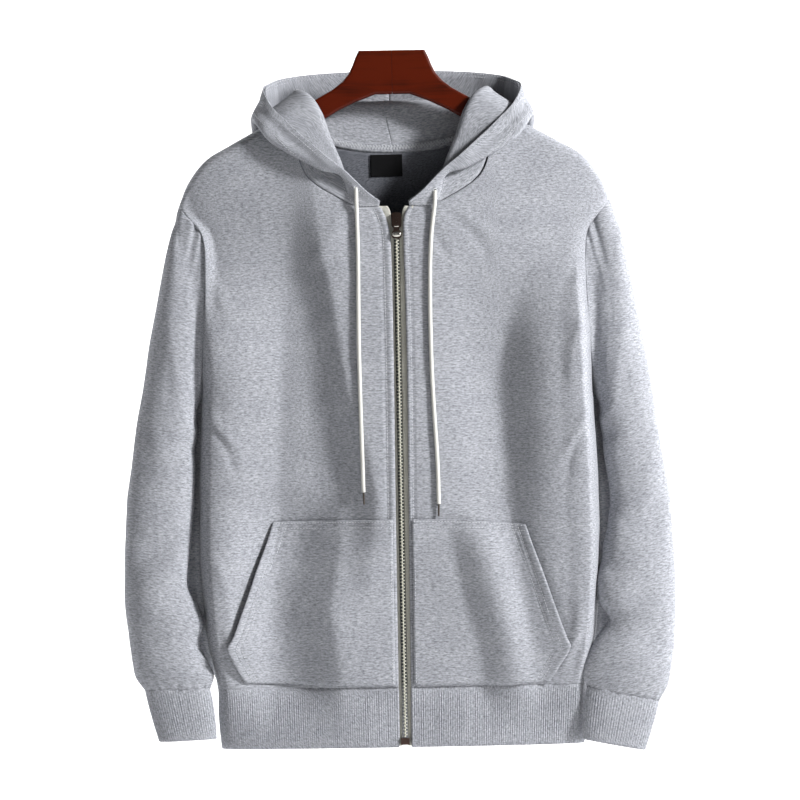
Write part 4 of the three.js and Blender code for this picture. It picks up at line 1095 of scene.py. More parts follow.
class HoodieColours(bpy.types.PropertyGroup):
    fleece_light: colour_property("Light fibres", "Lighter fibres of the heather", "#A9ABB1")
    fleece_dark: colour_property("Dark fibres", "Darker fibres of the heather", "#64666B")
    inside_light: colour_property(
        "Light inside", "Lighter fibres of the brushed side", "#74767D"
    )
    inside_dark: colour_property("Dark inside", "Darker fibres of the brushed side", "#3F4147")
    thread: colour_property("Thread", "Sewing thread", "#B9BBC0")
    cord: colour_property("Drawcord", "Cotton of the drawcords", "#C2C1BC")
    teeth: colour_property("Zip teeth", "Moulded teeth of the zip", "#ADAC9F")
    tape: colour_property("Zip tape", "Woven tape of the zip", "#A8A79F")
    metal: colour_property("Slider metal", "Plating of the slider", "#4E403B")
    bright_metal: colour_property("Bright metal", "Polished parts of the pull", "#C9C6BE")
    tip: colour_property("Cord tips", "Crimped metal ends of the cords", "#5A544F")
    label: colour_property("Label", "Woven neck label", "#0C0C0E")
    wood: colour_property("Wood", "Stained wood of the hanger", "#451102")
    wood_dark: colour_property("Wood grain", "Darker grain of the hanger", "#2B0A02")


# Operators


def paint(name, *materials):
    """Gives a CAD node its real finish."""
    mesh = NODES[name].data
    mesh.materials.clear()
    for material in materials:
        mesh.materials.append(material)


# The dark glue line between the hanger's halves, as ranges of x, y and z
GLUE_LINE = ((-0.15, 0.15), (-5.7, 5.7), (-46.1, -0.3))


class OBJECT_OT_hoodie_hanger(bpy.types.Operator):
    """Lacquered wood on both halves of the hanger"""

    bl_idname = "object.hoodie_hanger"
    bl_label = "Hanger"

    def execute(self, context):
        for side in SIDES:
            paint("hanger_" + side, lacquered_wood())
            soften(NODES["hanger_" + side], 0.0003)
        xs, ys, zs = GLUE_LINE
        corners = [(x, y, z) for x in xs for y in ys for z in zs]
        faces = [
            (0, 1, 3, 2), (4, 6, 7, 5), (0, 4, 5, 1), (2, 3, 7, 6), (0, 2, 6, 4), (1, 5, 7, 3)
        ]
        finish_mesh("hanger_glue_line", corners, faces, None, [dark_shade_and_glue()])
        return {"FINISHED"}


def soften(obj, width, segments=2):
    """Rounds the hard edges of a rigid piece."""
    bevel = obj.modifiers.new("rounded edges", "BEVEL")
    bevel.width = width
    bevel.segments = segments
    bevel.limit_method = "ANGLE"
    bevel.angle_limit = radians(35)
    for polygon in obj.data.polygons:
        polygon.use_smooth = True
    weighted = obj.modifiers.new("even shading", "WEIGHTED_NORMAL")
    weighted.keep_sharp = False


class OBJECT_OT_hoodie_back(bpy.types.Operator):
    """Back panel, one wide piece of fleece"""

    bl_idname = "object.hoodie_back"
    bl_label = "Back"

    def execute(self, context):
        half = back_half(PITCH["back"])
        other = half[:, 1:][:, ::-1] * np.array([-1, 1])
        whole = np.concatenate([other, half], 1)[:, ::-1]
        x, drop = whole[..., 0], whole[..., 1]
        grid = xyz(x + back_spread(x, drop), back_y(x, drop), drop)
        down, _ = runs(grid)
        relief = panel_relief(CREASES["back"], x, drop, SEED["back"]) * ends_calm(grid, 25, 20)
        relief += edge_pucker(down[-1] - down, x, 9, SEED["back"] + 1)
        fleece_piece("back", "back", "hanger_left", grid, relief, uv=level_uv(grid))
        return {"FINISHED"}


# How far the seam beside the zip lies in from each front's folded edge
FRONT_SEAM = {"left": 4.5, "right": 7.5}


class OBJECT_OT_hoodie_fronts(bpy.types.Operator):
    """Both front panels with their folded edges beside the zip"""

    bl_idname = "object.hoodie_fronts"
    bl_label = "Fronts"

    def execute(self, context):
        for side in SIDES:
            flat = front_grid(side, PITCH["front"])
            x, drop = flat[..., 0], flat[..., 1]
            grid = xyz(x, front_y(side, x, drop), drop)
            down, across = runs(grid)
            relief = panel_relief(CREASES["front_" + side], x, drop, SEED["front"])
            relief *= ends_calm(grid, 25, 20) * np.clip(across / 20, 0.25, 1)
            inset = FRONT_SEAM[side]
            sewn = groove(across, inset, 1.5, 1.3)
            sewn += groove(across, inset * 0.45, inset * 0.35, -0.7)
            sewn *= np.clip(down / 12, 0, 1)
            pucker = edge_pucker(across, drop, 12, SEED["front"] + 2, 0.9)
            relief += pucker * np.clip(down / 30, 0, 1)
            relief += edge_pucker(down[-1] - down, x, 9, SEED["front"] + 3)
            seam = [inset_line(grid, "first_column", inset, lift=-0.35)]
            grid, relief, sewn = on_side(side, grid, relief, sewn)
            fleece_piece(
                "front_" + side, "front", "hanger_" + side, grid, relief, sewn,
                uv=level_uv(grid)
            )
            sew(f"front_{side}_stitches", lines_on_side(side, seam), thread())
        return {"FINISHED"}


def sleeve_ring(section, turns):
    """A flattened ring between an outer and an inner edge, front half first."""
    ox, od, ix, inner_drop, ahead, depth = section
    share = (1 - np.cos(turns)) / 2
    swell = np.sign(np.sin(turns)) * np.abs(np.sin(turns)) ** 0.85
    return xyz(ox + (ix - ox) * share, -ahead - depth * swell, od + (inner_drop - od) * share)


def armhole_ring(side, count):
    """The line on which a sleeve is set in, front half first."""
    index = np.arange(len(ARMHOLE["x"]), dtype=float)
    rows = {"i": index, **ARMHOLE}
    at = np.linspace(0, index[-1], count // 2 + 1)
    x, drop = lookup(rows, "i", "x", at), lookup(rows, "i", "drop", at)
    front = xyz(x, front_y(side, x, drop), drop)
    back = xyz(x, back_y(SIGN[side] * x, drop), drop)
    return np.concatenate([front, back[1:-1][::-1]])


# Real lengths that the sleeve's unevenness is scaled by: down it, across one face and round it
SLEEVE_LONG, SLEEVE_FACE, SLEEVE_ROUND = 560.0, 190.0, 400.0
SLEEVE_LEAN = 0.18


class OBJECT_OT_hoodie_sleeves(bpy.types.Operator):
    """Both sleeves, creased at the elbow and above the cuff"""

    bl_idname = "object.hoodie_sleeves"
    bl_label = "Sleeves"

    def execute(self, context):
        count = 128
        turn = np.arange(count) / count
        for side in SIDES:
            sections = np.stack(list(SLEEVE[side].values()), 1)
            rings = [sleeve_ring(section, 2 * pi * turn) for section in sections]
            grid = refine([armhole_ring(side, count), *rings], PITCH["sleeve"])
            down = np.linspace(0, 1, len(grid))[:, None]
            relief = np.zeros(grid.shape[:2])
            for row in rows_of(SLEEVE_CREASES[side]):
                around = (turn - row["turn"] + 0.5) % 1 - 0.5
                off = (down - row["down"] - row["slant"] * around) / row["width"]
                bump = np.exp(-off * off) * np.exp(-((around / row["spread"]) ** 2))
                relief += row["height"] * bump
            width = SLEEVE_FACE * np.abs((turn + 0.5) % 1 - 0.5) * 2
            relief += softness(width, SLEEVE_LONG * down, (0.8, 40), (0.25, 15), SEED["sleeve"])
            relief *= np.clip(down * 14, 0, 1) * np.clip((1 - down) * 30, 0, 1)
            around = SLEEVE_ROUND * turn + 0 * down
            relief += edge_pucker(SLEEVE_LONG * down, around, 9, SEED["sleeve"] + 2)
            relief += edge_pucker(SLEEVE_LONG * (1 - down), around, 10, SEED["sleeve"] + 3, 1.2)
            grid, relief = on_side(side, grid[:, ::-1], relief[:, ::-1])
            # The fleece's rows lie level across the front, as the sleeve was cut
            _, around = runs(grid * np.array([1, 1, 0]))
            front = int(np.argmin(grid[len(grid) // 2, :, 1]))
            turned = np.sign(grid[0, front + 1, 0] - grid[0, front, 0])
            around = turned * (around - around[:, front : front + 1])
            around = around + grid[:, front : front + 1, 0]
            lean = grid[..., 2] - SLEEVE_LEAN * np.abs(grid[..., 0])
            fleece_piece(
                "sleeve_" + side, "sleeve", f"front_{side}_cloth", grid, relief, wrap=True,
                uv=np.stack([around, lean], -1)
            )
        return {"FINISHED"}


# Ribs: their height, and how many points each takes round the cuff or hem
RIB_HIGH, RIB_POINTS = 0.9, 5
CUFF_ROUND, CUFF_ROWS = 152.0, 22
HEM_ROWS, HEM_FRONT, HEM_BACK = 15, 198.0, 408.0
HEM_CROWDING = 1.35


def rib_profile(phase):
    """The height of a rib over its own pitch: round on top, narrow below."""
    return np.abs(np.sin(pi * phase)) ** 0.8


class OBJECT_OT_hoodie_cuffs(bpy.types.Operator):
    """Both rib cuffs, knitted with real ribs"""

    bl_idname = "object.hoodie_cuffs"
    bl_label = "Cuffs"

    def execute(self, context):
        for side in SIDES:
            ribs = int(CUFF_ROUND / (sizes().rib_pitch * 1000))
            count = ribs * RIB_POINTS
            turns = 2 * pi * np.arange(count) / count
            start = np.array([column[-1] for column in SLEEVE[side].values()])
            end = np.array(CUFF_END[side])
            levels = np.linspace(0, 1, CUFF_ROWS)
            grid = np.array([sleeve_ring(start + (end - start) * t, turns) for t in levels])
            run = run_along(np.concatenate([grid[0], grid[0][:1]]))
            phase = run[:-1] / run[-1] * ribs
            levels = levels[:, None]
            pull = np.clip(levels * 8, 0, 1) * np.clip((1 - levels) * 9, 0.3, 1)
            high = RIB_HIGH * (rib_profile(phase)[None] - 1) * pull
            soft = soft_noise(run[:-1][None], 66 * levels, 22, SEED["cuff"])
            relief = np.sin(pi * levels) + 0.5 * soft
            grid, relief, high = on_side(side, *(part[:, ::-1] for part in (grid, relief, high)))
            obj = shell(
                f"cuff_{side}_knit", grid, sizes().rib * 1000, [rib_knit()], relief, high,
                wrap=True
            )
            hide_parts("cuff_" + side)
        return {"FINISHED"}


class OBJECT_OT_hoodie_hem(bpy.types.Operator):
    """The rib hem from one front edge round the back to the other"""

    bl_idname = "object.hoodie_hem"
    bl_label = "Hem"

    def execute(self, context):
        drops = np.linspace(HEM_SEAM, HEM_END, HEM_ROWS)
        rows = []
        pitch = sizes().rib_pitch * 1000 / RIB_POINTS
        for drop in drops:
            half = float(lookup(BODY, "drop", "half", drop))
            parts = []
            for side in SIDES:
                edge = float(lookup(FRONT_EDGE[side], "drop", "x", drop))
                share = 1 - (1 - np.linspace(0, 1, int(HEM_FRONT / pitch))) ** HEM_CROWDING
                x = edge + (half - edge) * share
                line = xyz(x, front_y(side, x, drop), drop)
                parts.append(line if side == "left" else line[::-1] * MIRROR)
            spread = np.linspace(-1, 1, int(HEM_BACK / pitch))[1:-1]
            x = -np.sign(spread) * (1 - (1 - np.abs(spread)) ** HEM_CROWDING) * half
            rows.append(np.concatenate([parts[0], xyz(x, back_y(x, drop), drop), parts[1]]))
        grid = np.array(rows)
        run = run_along(grid[0])[None]
        levels = ((drops - HEM_SEAM) / (HEM_END - HEM_SEAM))[:, None]
        pull = np.clip(levels * 9, 0, 1) * np.clip((1 - levels) * 10, 0.3, 1)
        high = RIB_HIGH * (rib_profile(run / (sizes().rib_pitch * 1000)) - 1) * pull
        soft = soft_noise(run, 66 * levels, 46, SEED["hem"]) * np.clip(levels * 3, 0, 1)
        relief = 1.2 * np.sin(pi * levels) + 1.1 * soft
        obj = shell("hem_rib_knit", grid, sizes().rib * 1000, [rib_knit()], relief, high)
        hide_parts("hem_rib")
        return {"FINISHED"}


def hood_surface(side):
    """The hood's middle surface, rows from the neck seam to the rim."""
    sign = SIGN[side]
    seam_x = np.concatenate([NECK_FRONT["x"], NECK_BACK["x"]])
    seam_drop = np.concatenate([NECK_FRONT["drop"], NECK_BACK["drop"]])
    fronts = len(NECK_FRONT["x"])
    bands = len(HOOD_BANDS["rx"])
    sections = []
    for j, (x, drop) in enumerate(zip(seam_x, seam_drop)):
        middle = sizes().cloth * 1000 / 2
        if j < fronts:
            y = float(front_y(side, x, drop)) + middle
        else:
            y = float(back_y(sign * x, drop)) - middle
        share = max(0.0, (j - fronts) / (len(NECK_BACK["x"]) - 1))
        shift = -sign * share * share
        start = np.array([x, y, -drop])
        if j < bands:
            row = rows_of(HOOD_BANDS)[j]
            rim = np.array([row["rx"], row["ry"], -row["rd"]])
            section = start + (rim - start) * np.linspace(0, 1, 12)[:, None]
        else:
            row = rows_of(HOOD)[j - bands]
            turn = radians(row["turn"])
            out = np.array([np.cos(turn), np.sin(turn), 0])
            up = np.array([0, 0, 1.0])
            rim = np.array([row["rx"] + 4 * shift, row["ry"], -row["rd"]])
            ridge = np.array([row["px"] + 10 * shift, row["py"], -row["pd"]])
            gutter = np.array([row["gx"] + 5 * shift, row["gy"], -row["gd"]])
            half_p, half_g = row["pw"] / 2, row["gw"] / 2
            ridge_in = ridge - out * half_p - up * half_p
            ridge_out = ridge + out * half_p - up * half_p
            gutter_in = gutter - out * half_g + up * half_g
            gutter_out = gutter + out * half_g + up * half_g
            slack = min(1.0, np.linalg.norm(rim - gutter) / 90) * HOOD_BELLY
            section = np.array([
                start, (start + ridge_in) / 2, ridge_in, ridge, ridge_out,
                ridge_out + (gutter_in - ridge_out) * 0.33,
                ridge_out + (gutter_in - ridge_out) * 0.67, gutter_in, gutter, gutter_out,
                (gutter_out + rim) / 2 + out * slack, rim
            ])
        before, after = max(j - 1, 0), min(j + 1, len(seam_x) - 1)
        fall = seam_drop[after] - seam_drop[before]
        steep = abs(fall) / np.hypot(fall, seam_x[after] - seam_x[before])
        stand = HOOD_STAND + HOOD_STAND_STEEP * steep**2
        away = section[1] - start
        section[0] = start + away / np.linalg.norm(away) * stand
        sections.append(section)
    rows = np.swapaxes(np.array(sections), 0, 1)
    rows = refine(rows, HOOD_PITCH_DOWN)
    return np.swapaxes(refine(np.swapaxes(rows, 0, 1), HOOD_PITCH_ROUND), 0, 1)


class OBJECT_OT_hoodie_hood(bpy.types.Operator):
    """The hood's outer cloth and lining, thrown back over the shoulders"""

    bl_idname = "object.hoodie_hood"
    bl_label = "Hood"

    def execute(self, context):
        thick = sizes().hood_layer * 1000
        half = HOOD_LAYER_GAP / 2
        for side in SIDES:
            grid = hood_surface(side)
            down, across = runs(grid)
            from_rim, to_centre = down[-1] - down, across[:, -1:] - across
            calm = np.clip(down / 18, 0, 1) * np.clip(from_rim / 8, 0.2, 1)
            relief = softness(across, down, (0.8, 34), (0.25, 13), SEED["hood"]) * calm
            relief += groove(from_rim, 12.5, 5.0, -1.1) * calm
            rows = [inset_line(grid, "last_row", distance) for distance in HOOD_RIM_SEAMS]
            channel = [inset_line(grid, "last_row", HOOD_CHANNEL)]
            sewn = groove(from_rim, 5.6, 1.5, 0.9) + groove(from_rim, 20, 1.7, 1.1)
            sewn += groove(from_rim, 2.0, 2.4, -0.7) + groove(to_centre, 0.0, 1.4, 1.0)
            # The middle seam's allowance is pressed to the left
            if side == "left":
                sewn += groove(to_centre, 3.2, 1.8, -0.6)
            grid, relief, sewn = on_side(side, grid, relief, sewn)
            rows, channel = lines_on_side(side, rows), lines_on_side(side, channel)
            for layer, detail, back in (
                ("hood_outer_" + side, sewn, half), ("hood_lining_" + side, 0.0, -half - thick)
            ):
                obj = shell(
                    layer + "_cloth", grid, thick, [fleece(), fleece()], relief, detail,
                    back=back
                )
                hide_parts(layer)
            depth = half + thick
            neck_band(side, grid, depth)
            eyelet(side, grid)
            lines = [(p - q * (depth - 0.1), -q) for p, q in rows]
            lines += [(p + q * (depth + 0.2), q) for p, q in rows]
            lines += [(p - q * depth, -q) for p, q in channel]
            sew(f"hood_{side}_stitches", lines, thread())
        return {"FINISHED"}


# The overlocked neck seam: how far from the seam its band starts and ends
BAND_FROM, BAND_TO = 0.8, 9.6


def neck_band(side, grid, depth):
    """The bound and overlocked seam allowance, turned up inside the back of the neck."""
    chosen = grid[0, :, 1] > 12
    part = grid[:, chosen]
    rows = [
        inset_line(part, "first_row", distance, lift=depth + 0.2)
        for distance in np.linspace(BAND_FROM, BAND_TO, 6)
    ]
    points = np.array([row[0] for row in rows])
    band = shell(f"neck_band_{side}_cloth", points, 0.8, [fleece()], back=-0.8)
    low, normals = inset_line(part, "first_row", BAND_FROM + 0.6, lift=depth + 1.1)
    high, _ = inset_line(part, "first_row", BAND_TO + 0.4, lift=depth + 1.1)
    low, high = even(low, 1.7), even(high, 1.7)
    count = min(len(low), len(high))
    up = normals[len(normals) // 2]
    lines = []
    for k in range(count - 1):
        ends = (low[k], high[k + 1]) if k % 2 else (high[k], low[k + 1])
        steps = np.linspace(ends[0], ends[1], 4)
        lines.append((steps, np.repeat(up[None], 4, axis=0)))
    sew(f"neck_overlock_{side}", lines, thread(), length=8.2, gap=0.2, width=0.75)


def eyelet(side, grid):
    """The hole in the hood's edge where a drawcord comes out: painted shade ringed with thread."""
    x, drop = CORD[side]["x"][0], CORD[side]["drop"][0] - 2.6
    target = np.array([SIGN[side] * x, -drop])
    flat = grid.reshape(-1, 3)
    flat = flat[flat[:, 1] < -20]
    nearest = flat[np.argmin(np.linalg.norm(flat[:, [0, 2]] - target, axis=1))]
    turns = np.linspace(0, 2 * pi, 24, endpoint=False)
    middle = np.array([target[0], nearest[1] - 2.3, target[1]])
    verts, faces = [middle + np.array([0, 0.9, 0])], []
    verts += [
        middle + np.array([radius * np.cos(a), lift, radius * np.sin(a)]) for radius,
        lift in ((1.5, 0.2), (2.1, -0.25), (2.7, 0.4)) for a in turns
    ]
    count = len(turns)
    for k in range(count):
        n = (k + 1) % count
        faces.append((0, 1 + k, 1 + n))
        for ring in (0, 1):
            a = 1 + ring * count
            faces.append((a + k, a + count + k, a + count + n, a + n))
    # The middle disc is painted shade of the hole, the rings round it are thread
    slots = [0, 1, 1] * count
    finish_mesh(f"eyelet_{side}", verts, faces, None, [dark_shade_and_glue(), thread()], slots)


def pocket_grid(side, pitch):
    mouth = even(pairs(POCKET_MOUTH[side]), pitch)
    down = shares(mouth)[:, None]
    across = np.linspace(0, 1, int(150 / pitch))[None, :]
    hem = HEM_SEAM - 2
    level = POCKET_TOP + (hem - POCKET_TOP) * down
    drop = level + (mouth[:, 1:2] - level) * across**2
    inner = lookup(FRONT_EDGE[side], "drop", "x", drop) + POCKET_INSET
    x = inner + (mouth[:, :1] - inner) * across
    fill = np.abs(np.sin(pi * down)) ** 0.8 * np.minimum(1, 1.6 * across) * POCKET_FILL[side]
    return xyz(x, front_y(side, x, drop) - POCKET_CLEAR - sizes().cloth * 1000 - fill, drop)


class OBJECT_OT_hoodie_pockets(bpy.types.Operator):
    """Both patch pockets with their turned-in, double-stitched mouths"""

    bl_idname = "object.hoodie_pockets"
    bl_label = "Pockets"

    def execute(self, context):
        for side in SIDES:
            grid = pocket_grid(side, PITCH["pocket"])
            down, across = runs(grid)
            from_mouth = across[:, -1:] - across
            x, drop = grid[..., 0], -grid[..., 2]
            calm = np.clip(down / 14, 0, 1) * np.clip(from_mouth / 14, 0.15, 1)
            relief = softness(x, drop, (0.7, 38), (0.2, 14), SEED["pocket"]) * calm
            sewn = groove(down, 2.0, 1.0, 0.7) + groove(down, 8.0, 1.2, 0.9)
            for distance in POCKET_MOUTH_SEAMS:
                sewn += groove(from_mouth, distance, 1.2, 0.9)
            lines = [inset_line(grid, "last_column", d, lift=-0.25) for d in POCKET_MOUTH_SEAMS]
            lines += [inset_line(grid, "first_row", d, lift=-0.25) for d in POCKET_TOP_SEAMS]
            lines.append(inset_line(grid, "first_column", POCKET_TOP_SEAMS[0], lift=0.05))
            grid, relief, sewn = on_side(side, grid, relief, sewn)
            fleece_piece(
                "pocket_" + side, "pocket", f"front_{side}_cloth", grid, relief, sewn,
                uv=level_uv(grid)
            )
            sew(f"pocket_{side}_stitches", lines_on_side(side, lines), thread())
        return {"FINISHED"}


def zip_face(drop):
    return -lookup(BODY, "drop", "front", drop)


# One moulded tooth as seen from the front: a narrow neck from the tape and a broad head
TOOTH = table("x z", [(0, 0.55), (1.7, 0.55), (2.3, 1.05), (3.0, 1.05), (3.4, 0.5)])
# The tooth's rounded face, its shoulder and its foot: depth behind the face and share of height
TOOTH_LEVELS = ((0.0, 0.72), (0.35, 1.0), (2.7, 1.0))
TOOTH_ROOT, TOOTH_PROUD, TOOTH_FACE = 2.6, 0.4, 0.97

# The tapes: their inner edges out from the zip's middle where it is closed and at the slider,
# how fast they part above it, and the drop above which their ends are loose, and over how far
TAPE_CLOSED, TAPE_AT_SLIDER, TAPE_PARTING = 3.4, 5.8, 0.35
TAPE_LOOSE, TAPE_LOOSE_OVER = 190.0, 17.0
TAPE_WIDE, TAPE_SET_BACK, TAPE_THICK = 12.0, 3.2, 0.9


class OBJECT_OT_hoodie_zip(bpy.types.Operator):
    """Zip teeth in two staggered rows between woven tapes"""

    bl_idname = "object.hoodie_zip"
    bl_label = "Zip"

    def execute(self, context):
        pitch = sizes().tooth_pitch * 1000
        verts, faces = [], []
        upper = np.stack([TOOTH["x"], TOOTH["z"]], 1)
        outline = np.concatenate([upper, upper[::-1] * np.array([1, -1])])
        count = len(outline)
        for side in SIDES:
            sign = SIGN[side]
            stagger = pitch / 2 if sign > 0 else 0
            for drop in np.arange(CHAIN_TOP + 1 + stagger, CHAIN_END - 1, pitch):
                face = float(zip_face(drop)) - TOOTH_PROUD
                first = len(verts)
                for depth, grow in TOOTH_LEVELS:
                    for px, pz in outline:
                        x = ZIP_X + sign * (TOOTH_ROOT - px * (TOOTH_FACE if grow < 1 else 1.0))
                        verts.append((x, face + depth, -drop + pz * grow))
                ring = lambda level, k: first + level * count + k % count
                turn = 1 if sign > 0 else -1
                for up in (0, 1):
                    for k in range(count):
                        quad = ring(up, k), ring(up, k + 1), ring(up + 1, k + 1), ring(up + 1, k)
                        faces.append(quad[::turn])
                for level, way in ((0, -turn), (2, turn)):
                    faces.append(tuple(ring(level, k) for k in range(count))[::way])
        teeth = finish_mesh("zip_teeth", verts, faces, None, [zip_resin()])
        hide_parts("zip_chain")
        paint("zip_box", brown_plate())
        drops = np.linspace(NECK_DROP + 1, TAPE_END, 220)[:, None]
        for side in SIDES:
            parting = TAPE_AT_SLIDER + np.maximum(SLIDER_TOP - drops, 0) * TAPE_PARTING
            open_by = np.where(drops > CHAIN_TOP, TAPE_CLOSED, parting)
            x = ZIP_X + (open_by + np.linspace(0, TAPE_WIDE, 8)[None, :])
            y = zip_face(drops) + TAPE_SET_BACK + 0.15 * soft_noise(x, drops, 9, SEED["tape"])
            loose = np.clip((TAPE_LOOSE - drops) / TAPE_LOOSE_OVER, 0, 1) ** 1.5
            y = y + loose * (1.6 * soft_noise(x, drops, 3.2, SEED["tape"] + 1) - 3.4)
            x = x + loose * (1.5 + 1.2 * soft_noise(x, drops, 4, SEED["tape"] + 2))
            grid = xyz(x, y, drops)
            if side == "right":
                grid = mirrored(grid) + np.array([2 * ZIP_X, 0, 0])
            tape = shell(f"zip_tape_{side}_cloth", grid, TAPE_THICK, [zip_tape_cloth()])
            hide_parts("zip_tape_" + side)
        return {"FINISHED"}


# Small plates on the pull tab and dark discs of painted shade for its dimples: x, drop, how far
# ahead of its face, half width, half height and thickness
PULL_FACE = -37.4
PULL_PLATES = {
    "pull_bar": (2.0, 196.4, 0.0, 2.7, 0.8, 0.7), "pull_plate": (2.0, 205.2, 0.0, 5.0, 3.0, 0.6),
    "pull_dimple_1": (0.1, 205.0, 0.5, 0.9, 0.7, 0.2),
    "pull_dimple_2": (3.9, 205.0, 0.5, 0.9, 0.7, 0.2)
}


class OBJECT_OT_hoodie_slider(bpy.types.Operator):
    """Metal slider and its pull tab"""

    bl_idname = "object.hoodie_slider"
    bl_label = "Slider and pull"

    def execute(self, context):
        for name in ("zip_slider", "pull_tab"):
            paint(name, brown_plate())
            soften(NODES[name], 0.0003)
        for name, (x, drop, ahead, wide, high, thick) in PULL_PLATES.items():
            # Each dimple is a dark disc of painted shade, the other plates pale nickel
            finish = dark_shade_and_glue() if "dimple" in name else bright_nickel()
            rounded_disc(name, (x, PULL_FACE - ahead, -drop), wide, high, thick, finish)
        return {"FINISHED"}


def rounded_disc(name, middle, wide, high, thick, material):
    """A small oval plate lying on the pull tab's face, its front edge rounded."""
    turns = np.linspace(0, 2 * pi, 28, endpoint=False)
    x, y, z = middle
    verts = [
        (x + wide * share * np.cos(a), y + lift, z + high * share * np.sin(a)) for share,
        lift in ((1.0, 0.1), (1.0, -0.5 * thick), (0.84, -thick)) for a in turns
    ]
    count = len(turns)
    faces = [tuple(range(count - 1, -1, -1)), tuple(range(2 * count, 3 * count))]
    for ring in (0, 1):
        for k in range(count):
            a, b = ring * count + k, ring * count + (k + 1) % count
            faces.append((a, b, b + count, a + count))
    return finish_mesh(name, verts, faces, None, [material], body="pull")


class OBJECT_OT_hoodie_drawcords(bpy.types.Operator):
    """Both drawcords with their crimped metal ends"""

    bl_idname = "object.hoodie_drawcords"
    bl_label = "Drawcords"

    def execute(self, context):
        radius = sizes().cord_diameter / 2
        for side in SIDES:
            rows = CORD[side]
            x, drop = rows["x"], rows["drop"]
            y = front_y(side, x, drop) - rows["stand"] - radius * 1000
            route = xyz(SIGN[side] * x, y, drop)
            tucked = route[:1] + np.array([0, 3.6, 2.6])
            route = even(np.concatenate([tucked, route]), 12.0)
            curve = bpy.data.curves.new(f"drawcord_{side}_braid", "CURVE")
            curve.dimensions = "3D"
            curve.bevel_depth = radius
            curve.bevel_resolution = 4
            curve.use_fill_caps = True
            curve.resolution_u = 4
            spline = curve.splines.new("POLY")
            fine = refine(route, PITCH["cord"])
            spline.points.add(len(fine) - 1)
            for k, place in enumerate(fine):
                spline.points[k].co = (*(place / 1000), 1.0)
            curve.materials.append(cord_cotton())
            obj = bpy.data.objects.new(f"drawcord_{side}_braid", curve)
            bpy.context.scene.collection.objects.link(obj)
            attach(obj, "hoodie")
            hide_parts("drawcord_" + side)
            paint("cord_tip_" + side, crimped_steel())
        return {"FINISHED"}


class OBJECT_OT_hoodie_label(bpy.types.Operator):
    """The bare woven label inside the back neck"""

    bl_idname = "object.hoodie_label"
    bl_label = "Label"

    def execute(self, context):
        across = np.linspace(-0.5, 0.5, 30)[None, :]
        down = np.linspace(0, 1, 22)[:, None]
        x = LABEL["x"] + LABEL["width"] * across
        drop = LABEL["top"] + LABEL["height"] * down
        y = back_y(x, drop) - sizes().cloth * 1000 - 1.3
        bow = 0.5 * (np.abs(across) * 2) ** 3 * down
        obj = shell("neck_label_woven", xyz(x, y - bow, drop), 0.6, [label_satin()])
        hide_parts("neck_label")
        return {"FINISHED"}


# Lights: place, target, width, height and watts; the key comes from high on the right
BODY_MIDDLE = (0, 0, -0.38)
LIGHTS = {
    "key_softbox": ((3.86, -2.14, 1.97), BODY_MIDDLE, 0.8, 0.8, 550),
    "edge_softbox": ((-2.4, -0.35, 0.0), BODY_MIDDLE, 0.5, 1.4, 2),
    "fill_softbox": ((-0.5, -2.9, -0.1), BODY_MIDDLE, 1.4, 1.4, 2),
    "backdrop_light_0": ((-1.7, 0.55, -0.1), (0.5, 1.6, -0.4), 0.5, 1.8, 26),
    "backdrop_light_2": ((1.7, 0.55, -0.1), (-0.5, 1.6, -0.4), 0.5, 1.8, 26)
}
WORLD_STRENGTH = 0.04

# The backdrop in metres: half width, floor, its near end, where its sweep starts and the
# sweep's radius, and the wall's top
STAGE_HALF, STAGE_FLOOR, STAGE_NEAR, SWEEP_START, SWEEP, STAGE_TOP = 4.0, -1.0, -4.0, 1.0, 0.6, 3.2


def softbox(name, place, target, width, height, power):
    light = bpy.data.lights.new(name, "AREA")
    light.shape = "RECTANGLE"
    light.size, light.size_y, light.energy = width, height, power
    obj = bpy.data.objects.new(name, light)
    bpy.context.scene.collection.objects.link(obj)
    obj.location = place
    aim = Vector(target) - Vector(place)
    obj.rotation_euler = aim.to_track_quat("-Z", "Y").to_euler()
    return obj


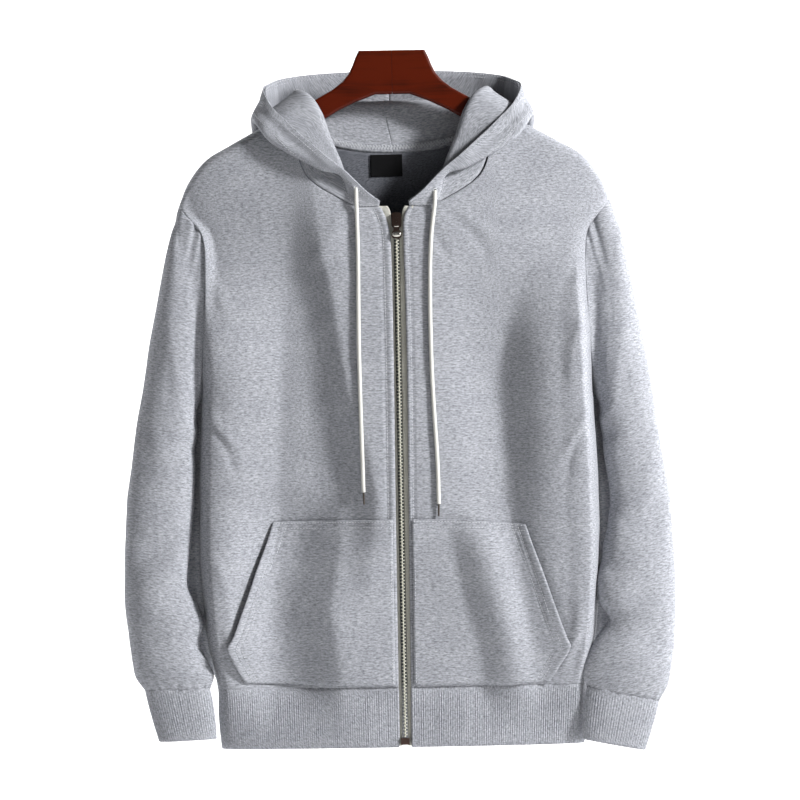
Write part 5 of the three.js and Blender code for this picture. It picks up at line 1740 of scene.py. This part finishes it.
class OBJECT_OT_hoodie_stage(bpy.types.Operator):
    """Camera at the photo's angle, pale backdrop and soft studio light"""

    bl_idname = "object.hoodie_stage"
    bl_label = "Stage"

    def execute(self, context):
        camera = bpy.data.cameras.new("photo_camera")
        across = PHOTO_PIXELS * PHOTO_MM_PER_PIXEL / 1000
        camera.sensor_width = SENSOR_MM
        camera.lens = SENSOR_MM * CAMERA_DISTANCE / across
        obj = bpy.data.objects.new("photo_camera", camera)
        context.scene.collection.objects.link(obj)
        up = Vector((np.sin(PHOTO_TURN), 0, np.cos(PHOTO_TURN)))
        right = Vector((np.cos(PHOTO_TURN), 0, -np.sin(PHOTO_TURN)))
        back = Vector((0, -1, 0))
        turned = Matrix((right, up, back)).transposed().to_4x4()
        obj.matrix_world = Matrix.Translation(PHOTO_MIDDLE + back * CAMERA_DISTANCE) @ turned
        context.scene.camera = obj
        profile = [(STAGE_NEAR, STAGE_FLOOR), (SWEEP_START, STAGE_FLOOR)]
        profile += [
            (SWEEP_START + SWEEP * np.sin(a), STAGE_FLOOR + SWEEP * (1 - np.cos(a)))
            for a in np.linspace(0.1, pi / 2, 12)
        ]
        profile.append((SWEEP_START + SWEEP, STAGE_TOP))
        points = [(x, y, z) for y, z in profile for x in (-STAGE_HALF, STAGE_HALF)]
        faces = [(2 * k, 2 * k + 1, 2 * k + 3, 2 * k + 2) for k in range(len(profile) - 1)]
        mesh = bpy.data.meshes.new("backdrop")
        mesh.from_pydata(points, [], faces)
        mesh.materials.append(paper_backdrop())
        mesh.shade_smooth()
        backdrop = bpy.data.objects.new("backdrop", mesh)
        context.scene.collection.objects.link(backdrop)
        for name, light in LIGHTS.items():
            softbox(name, *light)
        world = context.scene.world or bpy.data.worlds.new("studio")
        context.scene.world = world
        world.use_nodes = True
        background = world.node_tree.nodes.get("Background")
        background.inputs[0].default_value = (1, 1, 1, 1)
        background.inputs[1].default_value = WORLD_STRENGTH
        context.scene.view_settings.view_transform = "Standard"
        return {"FINISHED"}


OPERATORS = (
    OBJECT_OT_hoodie_stage, OBJECT_OT_hoodie_drawcords, OBJECT_OT_hoodie_hanger,
    OBJECT_OT_hoodie_back, OBJECT_OT_hoodie_fronts, OBJECT_OT_hoodie_sleeves,
    OBJECT_OT_hoodie_cuffs, OBJECT_OT_hoodie_hem, OBJECT_OT_hoodie_hood,
    OBJECT_OT_hoodie_pockets, OBJECT_OT_hoodie_zip, OBJECT_OT_hoodie_slider,
    OBJECT_OT_hoodie_label
)


class VIEW3D_PT_hoodie(bpy.types.Panel):
    """Sizes, colours and pieces of the hoodie"""

    bl_label = "Hoodie on a hanger"
    bl_space_type = "VIEW_3D"
    bl_region_type = "UI"
    bl_category = "Hoodie"

    def draw(self, context):
        for group in (context.scene.hoodie_sizes, context.scene.hoodie_colours):
            column = self.layout.column(align=True)
            for name in group.bl_rna.properties.keys():
                if name not in ("rna_type", "name"):
                    column.prop(group, name)
        for operator in OPERATORS:
            self.layout.operator(operator.bl_idname)


CLASSES = (HoodieSizes, HoodieColours, *OPERATORS, VIEW3D_PT_hoodie)


def register():
    for item in CLASSES:
        bpy.utils.register_class(item)
    bpy.types.Scene.hoodie_sizes = bpy.props.PointerProperty(type=HoodieSizes)
    bpy.types.Scene.hoodie_colours = bpy.props.PointerProperty(type=HoodieColours)


def unregister():
    del bpy.types.Scene.hoodie_colours
    del bpy.types.Scene.hoodie_sizes
    for item in reversed(CLASSES):
        bpy.utils.unregister_class(item)


def main():
    register()
    for operator in OPERATORS:
        group, name = operator.bl_idname.split(".")
        result = getattr(getattr(bpy.ops, group), name)()
        if result != {"FINISHED"}:
            raise RuntimeError(operator.bl_idname + " did not finish")


if __name__ == "__main__":
    main()
